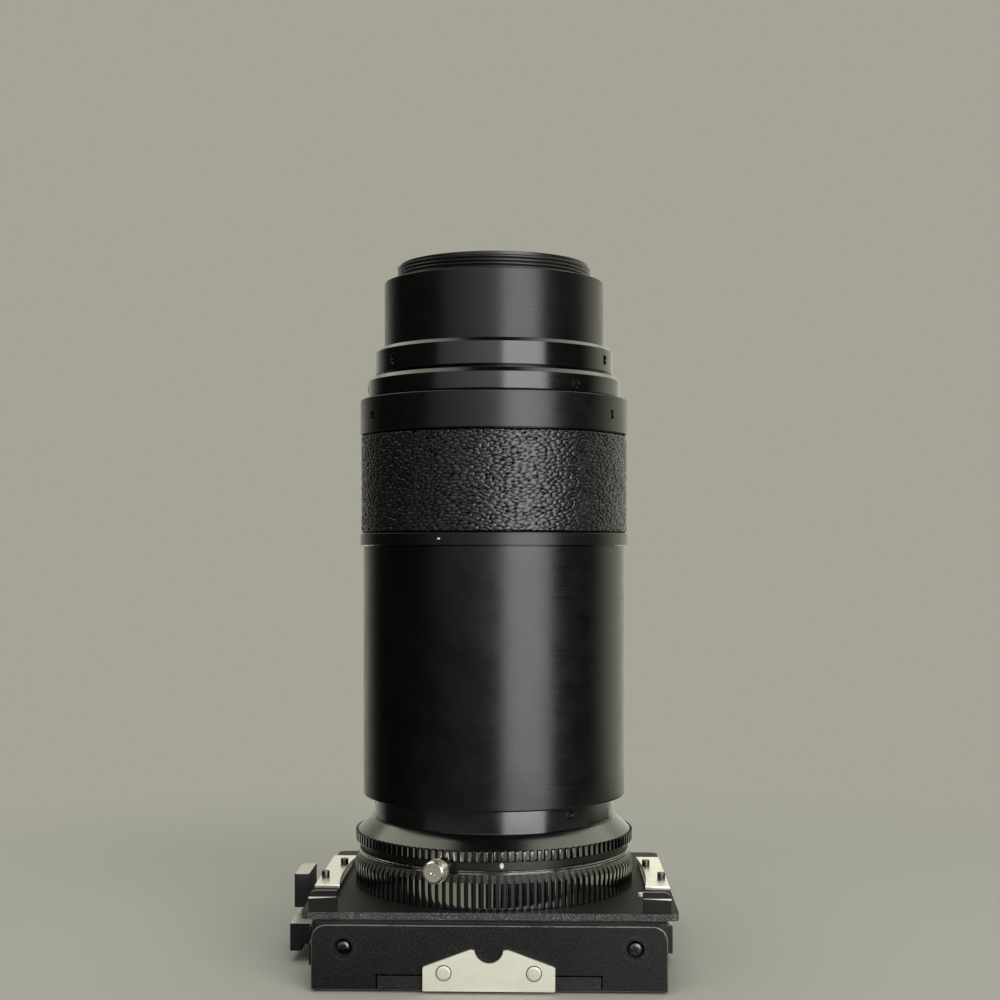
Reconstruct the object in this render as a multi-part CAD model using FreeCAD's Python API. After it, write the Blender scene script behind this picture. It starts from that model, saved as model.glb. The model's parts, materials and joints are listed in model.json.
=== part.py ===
# Zoom slide duplicator standing on its slide stage, camera thread upwards.
# Millimetres, +Z up. The origin is where the optical axis meets the resting face,
# the front of the stage (finger plate and cover screws) looks along -Y.
# A bearing is an angle in degrees from the front (-Y), positive towards +X.
import FreeCAD, Part
import math
import os

# ---- clearances -------------------------------------------------------------
slide_gap = 0.3          # between curved or guided faces of pieces that move on each other
shaft_gap = 0.05         # radial running fit of the lock screw in its hole
pin_gap = 0.2            # guide pin to slot wall
joint_line = 0.2         # visible seam between a cover and its neighbour

# ---- stage housing ----------------------------------------------------------
housing_side_reach = 5.1     # how far the housing stands out past the ribbed ring
gate_side_wall = 5.1         # front and rear wall beside the film gate
housing_roof = 1.9
bottom_skin = 0.8
gate_floor = 3.6             # height of the ledge the film gate runs on
light_window_half = 19.0     # square light window in the housing
housing_corner_radius = 1.2

# ---- covers of the housing --------------------------------------------------
cover_thickness = 1.2
cover_height = 13.3
cover_corner_radius = 3.0
cover_screw_inset = 6.4
cover_screw_z = 8.8
cover_screw_head_radius = 1.5
cover_screw_head_height = 0.75
cover_screw_recess_radius = 1.75
cover_screw_recess_depth = 0.5
cover_screw_shank_radius = 0.8
cover_screw_end_wall = 1.2   # material left between screw tip and gate space

# ---- diffuser drawer --------------------------------------------------------
drawer_height = 2.5
drawer_opening_half = 17.5
opal_ledge = 2.3
drawer_wall = 2.2
opal_thickness = 1.5
drawer_lip_inset = 2.6
drawer_lip_height = 5.6
drawer_lip_depth = 1.9
finger_plate_thickness = 0.9
finger_plate_half_width = 13.0
finger_plate_bottom = 0.6
finger_plate_shoulder_z = 5.3
finger_plate_top_z = 8.7
finger_notch_radius = 3.4
finger_notch_floor_z = 6.1
drawer_rivet_inset = 1.55
drawer_rivet_z = 4.2
drawer_rivet_head_radius = 1.5
drawer_rivet_head_height = 0.35
drawer_rivet_shank_radius = 0.8

# ---- film gate --------------------------------------------------------------
gate_rail_width = 3.1
gate_base_height = 4.4
gate_slot_height = 2.0
gate_cover_thickness = 1.4
gate_slide_width = 51.0      # clear width for a 50 mm slide mount between the rails
gate_window_half = 18.0
gate_inner_inset = 0.5       # the wide part of the gate ends this far inside the housing
gate_end_reach = 5.9         # housing side to the outer face of the left jaws
gate_right_shortening = 1.3  # the right jaws end this much nearer than the left ones
gate_end_half_depth = 12.0
gate_foot_length = 2.4
gate_foot_z = 2.2
gate_lip_thickness = 3.2     # upturned lip of the upper left jaw
gate_lip_half_depth = 6.0
gate_lip_top_z = 17.3
gate_rail_inset = 0.6
gate_shift_rest = -1.8       # the gate stands this far off the middle
gate_rivet_radius = 0.9
gate_rivet_head_radius = 1.5
gate_rivet_head_height = 0.2
gate_rivet_inset = 7.6
spring_thickness = 0.25
spring_half_length = 17.0
spring_width = 3.0
spring_inset = 4.5           # middle of a spring to its rail

# ---- turning head: tray, ribbed ring, clamping shoes ------------------------
tray_side_overhang = 2.5
tray_front_setback = 2.0
tray_thickness = 1.4
tray_corner_radius = 1.6
tray_tab_width = 5.6         # upturned tabs at the front corners of the tray
tray_tab_height = 4.2
tray_tab_corner_radius = 1.5
tray_tab_ledge_height = 3.0
tray_tab_ledge_depth = 0.4
tray_bore_step = 1.3         # the tray's bore is this much smaller than the foot's nose
ring_rib_band = 1.6          # collar to rib crest
rib_count = 120
rib_depth = 0.45
rib_crest_share = 0.56
ring_height = 7.0
ring_top_chamfer_width = 0.8
ring_top_chamfer_height = 1.6
ring_collar_wall = 3.5
ring_collar_height = 2.3
index_ring_width = 0.8
index_ring_height = 0.75
index_ring_gap_degrees = 12.0
head_ledge_thickness = 1.2
head_ledge_above_tray = 2.4
head_screw_outset = 2.6      # spigot to the circle of the head screws
head_screw_count = 4
head_screw_head_radius = 1.9
head_screw_shank_radius = 1.0
head_screw_shank_length = 4.5
stop_pin_radius = 0.6
stop_pin_height = 0.65
stop_pin_from_shoe = 1.2
stop_pin_y = -15.4
shoe_outset = 1.5            # the shoes stand out past the housing
shoe_width = 4.4
shoe_half_depth = 15.6
shoe_height = 1.25
shoe_plate_overhang = 0.4
shoe_plate_thickness = 0.8
shoe_plate_arc_depth = 0.9
shoe_screw_front_y = -7.7
shoe_screw_front_inset = 0.8     # front screw to the outer face of its shoe
shoe_screw_front_shank = 1.85
shoe_screw_rear_y = 5.8
shoe_screw_rear_inset = 1.7      # rear screw to the side of the housing
shoe_peg_y = -5.8
shoe_peg_in_housing = 1.2
shoe_screw_shank_radius = 0.55
shoe_screw_head_radius = 0.85
shoe_screw_head_height = 1.3
head_shift_travel = 3.0      # the head can be pushed this far forward or back on the stage

# ---- lock screw -------------------------------------------------------------
lock_bearing = -18.6
lock_shank_radius = 0.8
lock_head_radius = 2.35
lock_head_stand_off = 1.7
lock_head_length = 3.3
lock_rib_count = 36
lock_rib_depth = 0.14

# ---- barrel foot ------------------------------------------------------------
foot_rim_height = 2.2
foot_cone_height = 2.7
foot_cone_spread = 3.5       # cone top to rib crest of the rim
foot_cone_step = 0.65        # neck to cone top
foot_neck_height = 4.8
foot_neck_wall = 0.65
spigot_inset = 0.6           # the spigot is this much smaller than the inner barrel
spigot_nose_step = 2.3
foot_nose_wall = 2.0
retaining_ring_height = 1.2
barrel_seat_depth = 4.2
neck_screw_bearing = 38.6
neck_screw_radius = 0.8
grub_screw_slot_width = 0.3
grub_screw_slot_depth = 0.4

# ---- fixed barrel -----------------------------------------------------------
inner_barrel_wall = 1.1
sleeve_wall = 1.85
sleeve_length = 53.4
sleeve_foot_height = 4.0
sleeve_spigot_wall = 0.8
sleeve_spigot_length = 6.0
baffle_thickness = 1.0
baffle_hole_radius = 15.0
lower_baffle_above_neck = 11.7

# ---- zoom ring --------------------------------------------------------------
zoom_ring_wall = 1.4
zoom_ring_length = 31.2
zoom_ring_seam = 0.3
zoom_clamp_height = 7.6
zoom_clamp_chamfer = 0.4
grip_bottom_offset = 2.6
grip_length = 21.0
grip_below_ring = 0.15       # the leatherette lies this far below the ring's surface
grip_thickness = 0.5
cam_tube_wall = 0.7
cam_tube_length = 62.2
zoom_screw_bearing = 59.9
zoom_screw_radius = 0.9
zoom_screw_above_clamp = 3.6
zoom_turn_degrees = 86.0

# ---- end collar of the fixed barrel -----------------------------------------
end_collar_wall = 2.2
end_collar_height = 4.4
end_collar_chamfer = 0.9
end_collar_lip = 0.5
end_collar_seam = 0.4
end_collar_screw_bearing = 39.3

# ---- sliding camera tube ----------------------------------------------------
thread_shoulder = 2.8        # crest of the camera thread to the outside of the tube
camera_tube_wall = 0.9
camera_tube_length = 50.6
camera_tube_above_collar = 14.4
camera_tube_travel = 12.0
stop_collar_wall = 2.0
stop_collar_height = 5.5
stop_collar_chamfer = 0.8
stop_collar_seam = 0.7
stop_collar_screw_bearing = -53.2
collar_screw_radius = 0.8
camera_baffle_above_foot = 24.0
thread_major_radius = 21.0
thread_pitch = 0.75
thread_depth = 0.45
thread_length = 3.9
thread_ring_wall = 1.25
thread_plug_length = 5.0

# ---- lens carriage ----------------------------------------------------------
carriage_wall = 1.2
carriage_above_cam_foot = 11.0
carriage_length = 20.0
carriage_web_above = 8.0
carriage_web_thickness = 3.0
carriage_travel = 10.0
guide_pin_radius = 1.2
guide_pin_above_end = 4.0
guide_pin_short_of_cam = 0.05
cell_wall = 2.6
cell_flange_width = 2.0
cell_flange_height = 1.5
cell_below_web = 10.0
cell_above_flange = 8.5
cell_end_lip = 0.4
glass_radius = 12.4
ring_seat_width = 1.6        # retainers and spacers cover this much of the glass rim
lower_retainer_height = 1.4
front_glass_edge = 2.0
front_glass_curve = 60.0
lower_spacer_height = 3.5
middle_glass_edge = 4.0
middle_glass_low_curve = 40.0
middle_glass_high_curve = 85.0
stop_plate_thickness = 0.8
stop_hole_radius = 5.0
upper_spacer_height = 1.6
flint_glass_edge = 4.0
cement_curve = 34.0
crown_glass_edge = 1.5
crown_top_curve = 45.0
upper_retainer_height = 1.8

# ---- radii that follow, from the camera thread outwards ---------------------
camera_tube_radius = thread_major_radius + thread_shoulder
camera_tube_bore = camera_tube_radius - camera_tube_wall
thread_bore_radius = thread_major_radius - thread_depth - thread_ring_wall
inner_barrel_bore = camera_tube_radius + slide_gap
inner_barrel_radius = inner_barrel_bore + inner_barrel_wall
cam_bore = inner_barrel_radius + slide_gap
cam_tube_radius = cam_bore + cam_tube_wall
sleeve_bore = cam_tube_radius + slide_gap
sleeve_radius = sleeve_bore + sleeve_wall
sleeve_spigot_radius = sleeve_bore + sleeve_spigot_wall
zoom_bore = sleeve_spigot_radius + slide_gap
zoom_ring_radius = zoom_bore + zoom_ring_wall
grip_radius = zoom_ring_radius - grip_below_ring
end_collar_radius = inner_barrel_radius + end_collar_wall
stop_collar_radius = camera_tube_radius + stop_collar_wall
neck_radius = inner_barrel_radius + foot_neck_wall
foot_cone_top_radius = neck_radius + foot_cone_step
foot_rim_radius = foot_cone_top_radius + foot_cone_spread
spigot_radius = inner_barrel_radius - spigot_inset
spigot_nose_radius = spigot_radius - spigot_nose_step
foot_bore_radius = spigot_nose_radius - foot_nose_wall
ring_bore_radius = spigot_radius + slide_gap
ring_collar_radius = ring_bore_radius + ring_collar_wall
ring_crest_radius = ring_collar_radius + ring_rib_band
head_screw_circle = spigot_radius + head_screw_outset
tray_bore_radius = spigot_nose_radius - tray_bore_step
lock_head_start = ring_crest_radius + lock_head_stand_off
carriage_radius = inner_barrel_bore - slide_gap
carriage_bore = carriage_radius - carriage_wall
pin_tip_radius = cam_tube_radius - guide_pin_short_of_cam
cell_radius = glass_radius + cell_wall
cell_flange_radius = cell_radius + cell_flange_width
ring_opening_radius = glass_radius - ring_seat_width

# ---- widths and depths that follow ------------------------------------------
gate_half_depth = gate_slide_width / 2 + gate_rail_width
cavity_half_depth = gate_half_depth + slide_gap
housing_half_width = ring_crest_radius + housing_side_reach
housing_half_depth = cavity_half_depth + gate_side_wall
cover_front_face = housing_half_depth + cover_thickness
cover_screw_x = housing_half_width - cover_screw_inset
cover_screw_in_housing = gate_side_wall - cover_screw_end_wall
opal_half = drawer_opening_half + opal_ledge
drawer_half_width = opal_half + drawer_wall
drawer_back = opal_half + drawer_wall
drawer_lip_half_width = finger_plate_half_width - drawer_lip_inset
drawer_rivet_x = drawer_lip_half_width - drawer_rivet_inset
gate_inner_half = housing_half_width - gate_inner_inset
gate_left_end = -(housing_half_width + gate_end_reach)
gate_right_end = housing_half_width + gate_end_reach - gate_right_shortening
gate_rail_half_length = gate_inner_half - gate_rail_inset
gate_rivet_x = gate_inner_half - gate_rivet_inset
spring_y = gate_slide_width / 2 - spring_inset
tray_half_width = housing_half_width + tray_side_overhang
tray_half_depth = housing_half_depth - tray_front_setback
tray_tab_outer_x = tray_half_width - tray_corner_radius
shoe_outer_x = housing_half_width + shoe_outset
shoe_inner_x = shoe_outer_x - shoe_width
shoe_screw_front_x = shoe_outer_x - shoe_screw_front_inset
shoe_screw_rear_x = housing_half_width - shoe_screw_rear_inset
stop_pin_x = shoe_inner_x - stop_pin_from_shoe

# ---- levels that follow, from the resting face upwards ----------------------
gate_slot_z = gate_floor + gate_base_height
gate_cover_z = gate_slot_z + gate_slot_height
gate_cover_top = gate_cover_z + gate_cover_thickness
cavity_top = gate_cover_top + slide_gap
tray_z = cavity_top + housing_roof
tray_top = tray_z + tray_thickness
ring_top = tray_top + ring_height
collar_top = ring_top + ring_collar_height
rim_bottom = collar_top + slide_gap
rim_top = rim_bottom + foot_rim_height
cone_top = rim_top + foot_cone_height
neck_top = cone_top + foot_neck_height
barrel_seat_z = neck_top - barrel_seat_depth
lower_baffle_z = neck_top + lower_baffle_above_neck
sleeve_top = neck_top + sleeve_length
zoom_bottom = sleeve_top + zoom_ring_seam
zoom_top = zoom_bottom + zoom_ring_length
clamp_bottom = zoom_top - zoom_clamp_height
cam_tube_bottom_z = zoom_top - cam_tube_length
end_collar_bottom = zoom_top + end_collar_seam
end_collar_top = end_collar_bottom + end_collar_height
inner_barrel_top = end_collar_top - end_collar_lip
stop_collar_bottom = end_collar_top + stop_collar_seam
camera_tube_top_z = stop_collar_bottom + stop_collar_height + camera_tube_above_collar
camera_tube_bottom_z = camera_tube_top_z - camera_tube_length
camera_baffle_z = camera_tube_bottom_z + camera_baffle_above_foot
carriage_bottom_z = cam_tube_bottom_z + carriage_above_cam_foot
carriage_pin_z = carriage_bottom_z + guide_pin_above_end
camera_pin_z = camera_tube_bottom_z + guide_pin_above_end
lock_z = ring_top + ring_collar_height / 2
web_bottom = carriage_bottom_z + carriage_web_above
web_top = web_bottom + carriage_web_thickness


# ---- shape helpers ----------------------------------------------------------
def box(x0, x1, y0, y1, z0, z1):
    """A block between two corners."""
    return Part.makeBox(x1 - x0, y1 - y0, z1 - z0, FreeCAD.Vector(x0, y0, z0))


def block(half_x, half_y, z0, z1):
    """A block centred on the axis."""
    return box(-half_x, half_x, -half_y, half_y, z0, z1)


def disc(radius, z0, z1, x=0.0, y=0.0):
    """An upright cylinder."""
    return Part.makeCylinder(radius, z1 - z0, FreeCAD.Vector(x, y, z0))


def tube(outer, inner, z0, z1):
    """An upright tube on the axis."""
    return disc(outer, z0, z1).cut(disc(inner, z0 - 1, z1 + 1))


def turned(outline):
    """A solid turned about the axis from a closed outline of (radius, height) points."""
    points = [FreeCAD.Vector(r, 0, z) for r, z in outline]
    face = Part.Face(Part.makePolygon(points + points[:1]))
    return face.revolve(FreeCAD.Vector(0, 0, 0), FreeCAD.Vector(0, 0, 1), 360)


def heading(bearing):
    """Unit vector away from the axis at a bearing."""
    angle = math.radians(bearing)
    return FreeCAD.Vector(math.sin(angle), -math.cos(angle), 0)


def rod(radius, start, end, bearing, z):
    """A cylinder that points away from the axis, between two distances from it."""
    out = heading(bearing)
    foot = out * start + FreeCAD.Vector(0, 0, z)
    return Part.makeCylinder(radius, end - start, foot, out)


def turn(shape, degrees):
    """A copy turned about the axis."""
    copy = shape.copy()
    copy.rotate(FreeCAD.Vector(0, 0, 0), FreeCAD.Vector(0, 0, 1), degrees)
    return copy


def moved(shape, x, y=0.0, z=0.0):
    """A copy moved by a distance."""
    copy = shape.copy()
    copy.translate(FreeCAD.Vector(x, y, z))
    return copy


def around(shape, count):
    """Copies of a shape evenly spaced about the axis."""
    return [turn(shape, 360.0 * i / count) for i in range(count)]


def group(shapes):
    """Several solids kept side by side as one node."""
    return Part.makeCompound(shapes)


def ribbed(crest, depth, count, share, z0, z1):
    """A disc whose rim carries straight upright ribs."""
    points = []
    pitch = 2 * math.pi / count
    half_crest = pitch * share / 2
    half_root = pitch * (1 - share) / 2 * 0.8
    for i in range(count):
        middle = i * pitch
        for radius, angle in (
            (crest, middle - half_crest),
            (crest, middle + half_crest),
            (crest - depth, middle + pitch / 2 - half_root),
            (crest - depth, middle + pitch / 2 + half_root),
        ):
            points.append(FreeCAD.Vector(radius * math.cos(angle), radius * math.sin(angle), z0))
    face = Part.Face(Part.makePolygon(points + points[:1]))
    return face.extrude(FreeCAD.Vector(0, 0, z1 - z0))


def rounded_slab(half_x, half_y, z0, z1, radius):
    """A flat plate with rounded upright corners."""
    slab = block(half_x, half_y, z0, z1)
    upright = [e for e in slab.Edges if abs(e.Vertexes[0].Z - e.Vertexes[1].Z) > (z1 - z0) / 2]
    return slab.makeFillet(radius, upright)


def grub_screw(radius, start, end, bearing, z):
    """A headless screw with a straight slot, pointing away from the axis."""
    body = rod(radius, start, end, bearing, z)
    slot = box(-grub_screw_slot_width / 2, grub_screw_slot_width / 2,
               -end - 1, -end + grub_screw_slot_depth, z - 2 * radius, z + 2 * radius)
    return body.cut(turn(slot, bearing))


def sag(radius, curve):
    """Depth of a spherical face at a rim radius."""
    return curve - math.sqrt(curve * curve - radius * radius)


def lens(radius, low_edge, high_edge, low_curve, high_curve):
    """A lens between two rim heights; a positive curve bulges out, a negative one is hollow."""
    outline = []

    def face_arc(edge_z, curve, outward):
        bulge = math.copysign(1, curve) * outward
        middle_z = edge_z + bulge * sag(radius, abs(curve))
        half_z = middle_z - bulge * sag(radius / 2, abs(curve))
        return middle_z, half_z

    low_z, low_half = face_arc(low_edge, low_curve, -1) if low_curve else (low_edge, low_edge)
    high_z, high_half = face_arc(high_edge, high_curve, 1) if high_curve else (high_edge, high_edge)
    low_middle = FreeCAD.Vector(0, 0, low_z)
    low_rim = FreeCAD.Vector(radius, 0, low_edge)
    high_rim = FreeCAD.Vector(radius, 0, high_edge)
    high_middle = FreeCAD.Vector(0, 0, high_z)
    if low_curve:
        arc = Part.Arc(low_middle, FreeCAD.Vector(radius / 2, 0, low_half), low_rim)
        outline.append(arc.toShape())
    else:
        outline.append(Part.makeLine(low_middle, low_rim))
    outline.append(Part.makeLine(low_rim, high_rim))
    if high_curve:
        arc = Part.Arc(high_rim, FreeCAD.Vector(radius / 2, 0, high_half), high_middle)
        outline.append(arc.toShape())
    else:
        outline.append(Part.makeLine(high_rim, high_middle))
    outline.append(Part.makeLine(high_middle, low_middle))
    face = Part.Face(Part.Wire(outline))
    return face.revolve(FreeCAD.Vector(0, 0, 0), FreeCAD.Vector(0, 0, 1), 360)


# ---- stage housing and its covers -------------------------------------------
def cover_screw(x, facing):
    """A cross-head screw in a cover; facing is -1 for the front and 1 for the rear."""
    face = facing * cover_front_face
    seat = face - facing * cover_screw_recess_depth
    out = FreeCAD.Vector(0, facing, 0)
    inward = FreeCAD.Vector(0, -facing, 0)
    top = FreeCAD.Vector(x, seat + facing * cover_screw_head_height, cover_screw_z)
    head = Part.makeCylinder(cover_screw_head_radius, cover_screw_head_height, top, inward)
    rim = [e for e in head.Edges if abs(e.CenterOfMass.y - top.y) < 0.01]
    head = head.makeChamfer(cover_screw_head_height * 0.45, rim)
    shank_length = cover_thickness - cover_screw_recess_depth + cover_screw_in_housing
    shank = Part.makeCylinder(cover_screw_shank_radius, shank_length,
                              FreeCAD.Vector(x, seat, cover_screw_z), inward)
    arm = cover_screw_head_radius * 0.6
    thin = cover_screw_head_radius * 0.14
    depth = cover_screw_head_height * 0.6
    y_low, y_high = sorted((top.y - facing * depth, top.y + facing * 0.5))
    cross = box(x - arm, x + arm, y_low, y_high, cover_screw_z - thin, cover_screw_z + thin)
    cross = cross.fuse(box(x - thin, x + thin, y_low, y_high, cover_screw_z - arm, cover_screw_z + arm))
    return head.fuse(shank).cut(cross)


def cover_screw_hole(x, facing, radius, start, length):
    """Cutter for a screw in a cover or in the housing, from a distance off the middle inwards."""
    foot = FreeCAD.Vector(x, facing * start, cover_screw_z)
    return Part.makeCylinder(radius, length, foot, FreeCAD.Vector(0, -facing, 0))


def cover_blank(facing):
    """A cover plate with rounded upper corners and its two screw holes."""
    y_low, y_high = sorted((facing * housing_half_depth, facing * cover_front_face))
    plate = box(-housing_half_width, housing_half_width, y_low, y_high, bottom_skin / 2, cover_height)
    upper = [e for e in plate.Edges
             if abs(e.CenterOfMass.z - cover_height) < 0.01 and e.BoundBox.XLength < 0.01]
    plate = plate.makeFillet(cover_corner_radius, upper)
    for x in (-cover_screw_x, cover_screw_x):
        plate = plate.cut(cover_screw_hole(x, facing, cover_screw_recess_radius, cover_front_face + 0.1,
                                           cover_screw_recess_depth + 0.1))
        plate = plate.cut(cover_screw_hole(x, facing, cover_screw_shank_radius, cover_front_face,
                                           cover_thickness + 1))
    return plate


def drawer_passage(y0, y1):
    """Space the drawer and its lip need in a wall."""
    half = drawer_half_width + slide_gap
    lip_half = drawer_lip_half_width + slide_gap
    low = box(-half, half, y0, y1, bottom_skin, gate_floor)
    return low.fuse(box(-lip_half, lip_half, y0, y1, bottom_skin, drawer_lip_height + slide_gap))


def stage_housing():
    shell = rounded_slab(housing_half_width, housing_half_depth, 0, tray_z, housing_corner_radius)
    shell = shell.cut(block(housing_half_width + 1, cavity_half_depth, gate_floor, cavity_top))
    shell = shell.cut(block(light_window_half, light_window_half, -1, tray_z + 1))
    back = drawer_back + slide_gap
    half = drawer_half_width + slide_gap
    shell = shell.cut(box(-half, half, -housing_half_depth - 1, back, bottom_skin, gate_floor))
    lip_half = drawer_lip_half_width + slide_gap
    lip_back = cover_front_face - drawer_lip_depth - slide_gap
    shell = shell.cut(box(-lip_half, lip_half, -housing_half_depth - 1, -lip_back,
                          bottom_skin, drawer_lip_height + slide_gap))
    for facing in (-1, 1):
        for x in (-cover_screw_x, cover_screw_x):
            shell = shell.cut(cover_screw_hole(x, facing, cover_screw_shank_radius,
                                               housing_half_depth + 0.01, cover_screw_in_housing + 0.01))
    for x, y, bottom in shoe_anchor_places():
        shell = shell.cut(disc(shoe_screw_shank_radius, bottom, tray_z + 1, x, y))
    return shell


def stage_parts():
    front = cover_blank(-1).cut(drawer_passage(-cover_front_face - 1, -housing_half_depth + 1))
    screws = [cover_screw(x, facing) for facing in (-1, 1) for x in (-cover_screw_x, cover_screw_x)]
    return {
        "stage_housing": stage_housing(),
        "front_cover": front,
        "rear_cover": cover_blank(1),
        "cover_screws": group(screws),
    }


# ---- diffuser drawer --------------------------------------------------------
def drawer_rivet(x):
    face = -cover_front_face - joint_line - finger_plate_thickness
    head = Part.makeCylinder(drawer_rivet_head_radius, drawer_rivet_head_height,
                             FreeCAD.Vector(x, face, drawer_rivet_z), FreeCAD.Vector(0, -1, 0))
    shank = Part.makeCylinder(drawer_rivet_shank_radius, finger_plate_thickness + drawer_lip_depth * 0.6,
                              FreeCAD.Vector(x, face, drawer_rivet_z), FreeCAD.Vector(0, 1, 0))
    return head.fuse(shank)


def finger_plate():
    """Pointed front plate of the drawer with a round finger notch."""
    y = -cover_front_face - joint_line
    shoulder = finger_plate_half_width
    outline = [
        (-shoulder, finger_plate_bottom),
        (shoulder, finger_plate_bottom),
        (shoulder, finger_plate_shoulder_z),
        (finger_notch_radius * 0.9, finger_plate_top_z),
        (-finger_notch_radius * 0.9, finger_plate_top_z),
        (-shoulder, finger_plate_shoulder_z),
    ]
    points = [FreeCAD.Vector(x, y, z) for x, z in outline]
    plate = Part.Face(Part.makePolygon(points + points[:1]))
    plate = plate.extrude(FreeCAD.Vector(0, -finger_plate_thickness, 0))
    notch_z = finger_notch_floor_z + finger_notch_radius
    notch = Part.makeCylinder(finger_notch_radius, finger_plate_thickness + 2,
                              FreeCAD.Vector(0, y + 1, notch_z), FreeCAD.Vector(0, -1, 0))
    plate = plate.cut(notch)
    for x in (-drawer_rivet_x, drawer_rivet_x):
        hole = Part.makeCylinder(drawer_rivet_shank_radius, finger_plate_thickness + 2,
                                 FreeCAD.Vector(x, y + 1, drawer_rivet_z), FreeCAD.Vector(0, -1, 0))
        plate = plate.cut(hole)
    return plate


def drawer_frame():
    front = -cover_front_face - joint_line
    z0 = bottom_skin
    z1 = bottom_skin + drawer_height
    frame = box(-drawer_half_width, drawer_half_width, -cover_front_face, drawer_back, z0, z1)
    lip = box(-drawer_lip_half_width, drawer_lip_half_width, front, front + drawer_lip_depth,
              z0, drawer_lip_height)
    frame = frame.fuse(lip)
    frame = frame.cut(block(drawer_opening_half, drawer_opening_half, z0 - 1, z1 + 1))
    frame = frame.cut(block(opal_half, opal_half, z1 - opal_thickness, z1 + 1))
    for x in (-drawer_rivet_x, drawer_rivet_x):
        hole = Part.makeCylinder(drawer_rivet_shank_radius, drawer_lip_depth * 0.6 + 1,
                                 FreeCAD.Vector(x, front - 1, drawer_rivet_z), FreeCAD.Vector(0, 1, 0))
        frame = frame.cut(hole)
    return frame.removeSplitter()


def drawer_parts():
    opal_bottom = bottom_skin + drawer_height - opal_thickness
    return {
        "drawer_frame": drawer_frame(),
        "opal_diffuser": block(opal_half, opal_half, opal_bottom, bottom_skin + drawer_height),
        "finger_plate": finger_plate(),
        "drawer_rivets": group([drawer_rivet(-drawer_rivet_x), drawer_rivet(drawer_rivet_x)]),
    }


# ---- film gate --------------------------------------------------------------
def gate_rivet(x, y):
    """A rivet through the gate; its lower head is sunk in the base."""
    shank = disc(gate_rivet_radius, gate_floor + gate_rivet_head_height, gate_cover_top, x, y)
    head = disc(gate_rivet_head_radius, gate_cover_top, gate_cover_top + gate_rivet_head_height, x, y)
    foot = disc(gate_rivet_head_radius, gate_floor + 0.1, gate_floor + 0.1 + gate_rivet_head_height, x, y)
    return shank.fuse(head).fuse(foot)


def gate_rivet_places():
    y = (gate_slide_width / 2 + gate_half_depth) / 2
    return [(sx * gate_rivet_x, sy * y) for sx in (-1, 1) for sy in (-1, 1)]


def gate_base():
    base = block(gate_inner_half, gate_half_depth, gate_floor, gate_slot_z)
    base = base.fuse(box(gate_left_end, gate_right_end, -gate_end_half_depth, gate_end_half_depth,
                         gate_floor, gate_slot_z))
    for x_low in (gate_left_end, gate_right_end - gate_foot_length):
        base = base.fuse(box(x_low, x_low + gate_foot_length, -gate_end_half_depth, gate_end_half_depth,
                             gate_foot_z, gate_slot_z))
    base = base.cut(block(gate_window_half, gate_window_half, gate_floor - 1, gate_slot_z + 1))
    for x, y in gate_rivet_places():
        base = base.cut(disc(gate_rivet_radius, gate_floor - 1, gate_slot_z + 1, x, y))
        base = base.cut(disc(gate_rivet_head_radius, gate_floor - 1,
                             gate_floor + 0.1 + gate_rivet_head_height, x, y))
    return base.removeSplitter()


def gate_cover():
    plate = block(gate_inner_half, gate_half_depth, gate_cover_z, gate_cover_top)
    plate = plate.fuse(box(gate_left_end, gate_right_end, -gate_lip_half_depth, gate_lip_half_depth,
                           gate_cover_z, gate_cover_top))
    plate = plate.fuse(box(gate_left_end, gate_left_end + gate_lip_thickness, -gate_lip_half_depth,
                           gate_lip_half_depth, gate_cover_z, gate_lip_top_z))
    plate = plate.cut(block(gate_window_half, gate_window_half, gate_cover_z - 1, gate_cover_top + 1))
    for x, y in gate_rivet_places():
        plate = plate.cut(disc(gate_rivet_radius, gate_cover_z - 1, gate_cover_top + 1, x, y))
    return plate.removeSplitter()


def gate_rails():
    """Two side rails that keep the slide slot open between base and cover."""
    rails = []
    for side in (-1, 1):
        y_low, y_high = sorted((side * gate_slide_width / 2, side * gate_half_depth))
        rail = box(-gate_rail_half_length, gate_rail_half_length, y_low, y_high, gate_slot_z, gate_cover_z)
        for x, y in gate_rivet_places():
            rail = rail.cut(disc(gate_rivet_radius, gate_slot_z - 1, gate_cover_z + 1, x, y))
        rails.append(rail)
    return rails


def gate_spring(side):
    """A bowed leaf spring under the gate cover, beside the window."""
    half = spring_half_length
    low = gate_cover_z - gate_slot_height * 0.5
    upper = [FreeCAD.Vector(-half, 0, gate_cover_z), FreeCAD.Vector(0, 0, low + spring_thickness),
             FreeCAD.Vector(half, 0, gate_cover_z)]
    lower = [FreeCAD.Vector(half, 0, gate_cover_z - spring_thickness), FreeCAD.Vector(0, 0, low),
             FreeCAD.Vector(-half, 0, gate_cover_z - spring_thickness)]
    edges = [
        Part.Arc(*upper).toShape(),
        Part.makeLine(upper[2], lower[0]),
        Part.Arc(*lower).toShape(),
        Part.makeLine(lower[2], upper[0]),
    ]
    strip = Part.Face(Part.Wire(edges)).extrude(FreeCAD.Vector(0, spring_width, 0))
    return moved(strip, 0, side * spring_y - spring_width / 2)


def gate_parts():
    shapes = {
        "gate_base": gate_base(),
        "gate_cover": gate_cover(),
        "gate_rails": group(gate_rails()),
        "gate_springs": group([gate_spring(-1), gate_spring(1)]),
        "gate_rivets": group([gate_rivet(x, y) for x, y in gate_rivet_places()]),
    }
    return {name: moved(shape, gate_shift_rest) for name, shape in shapes.items()}


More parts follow.
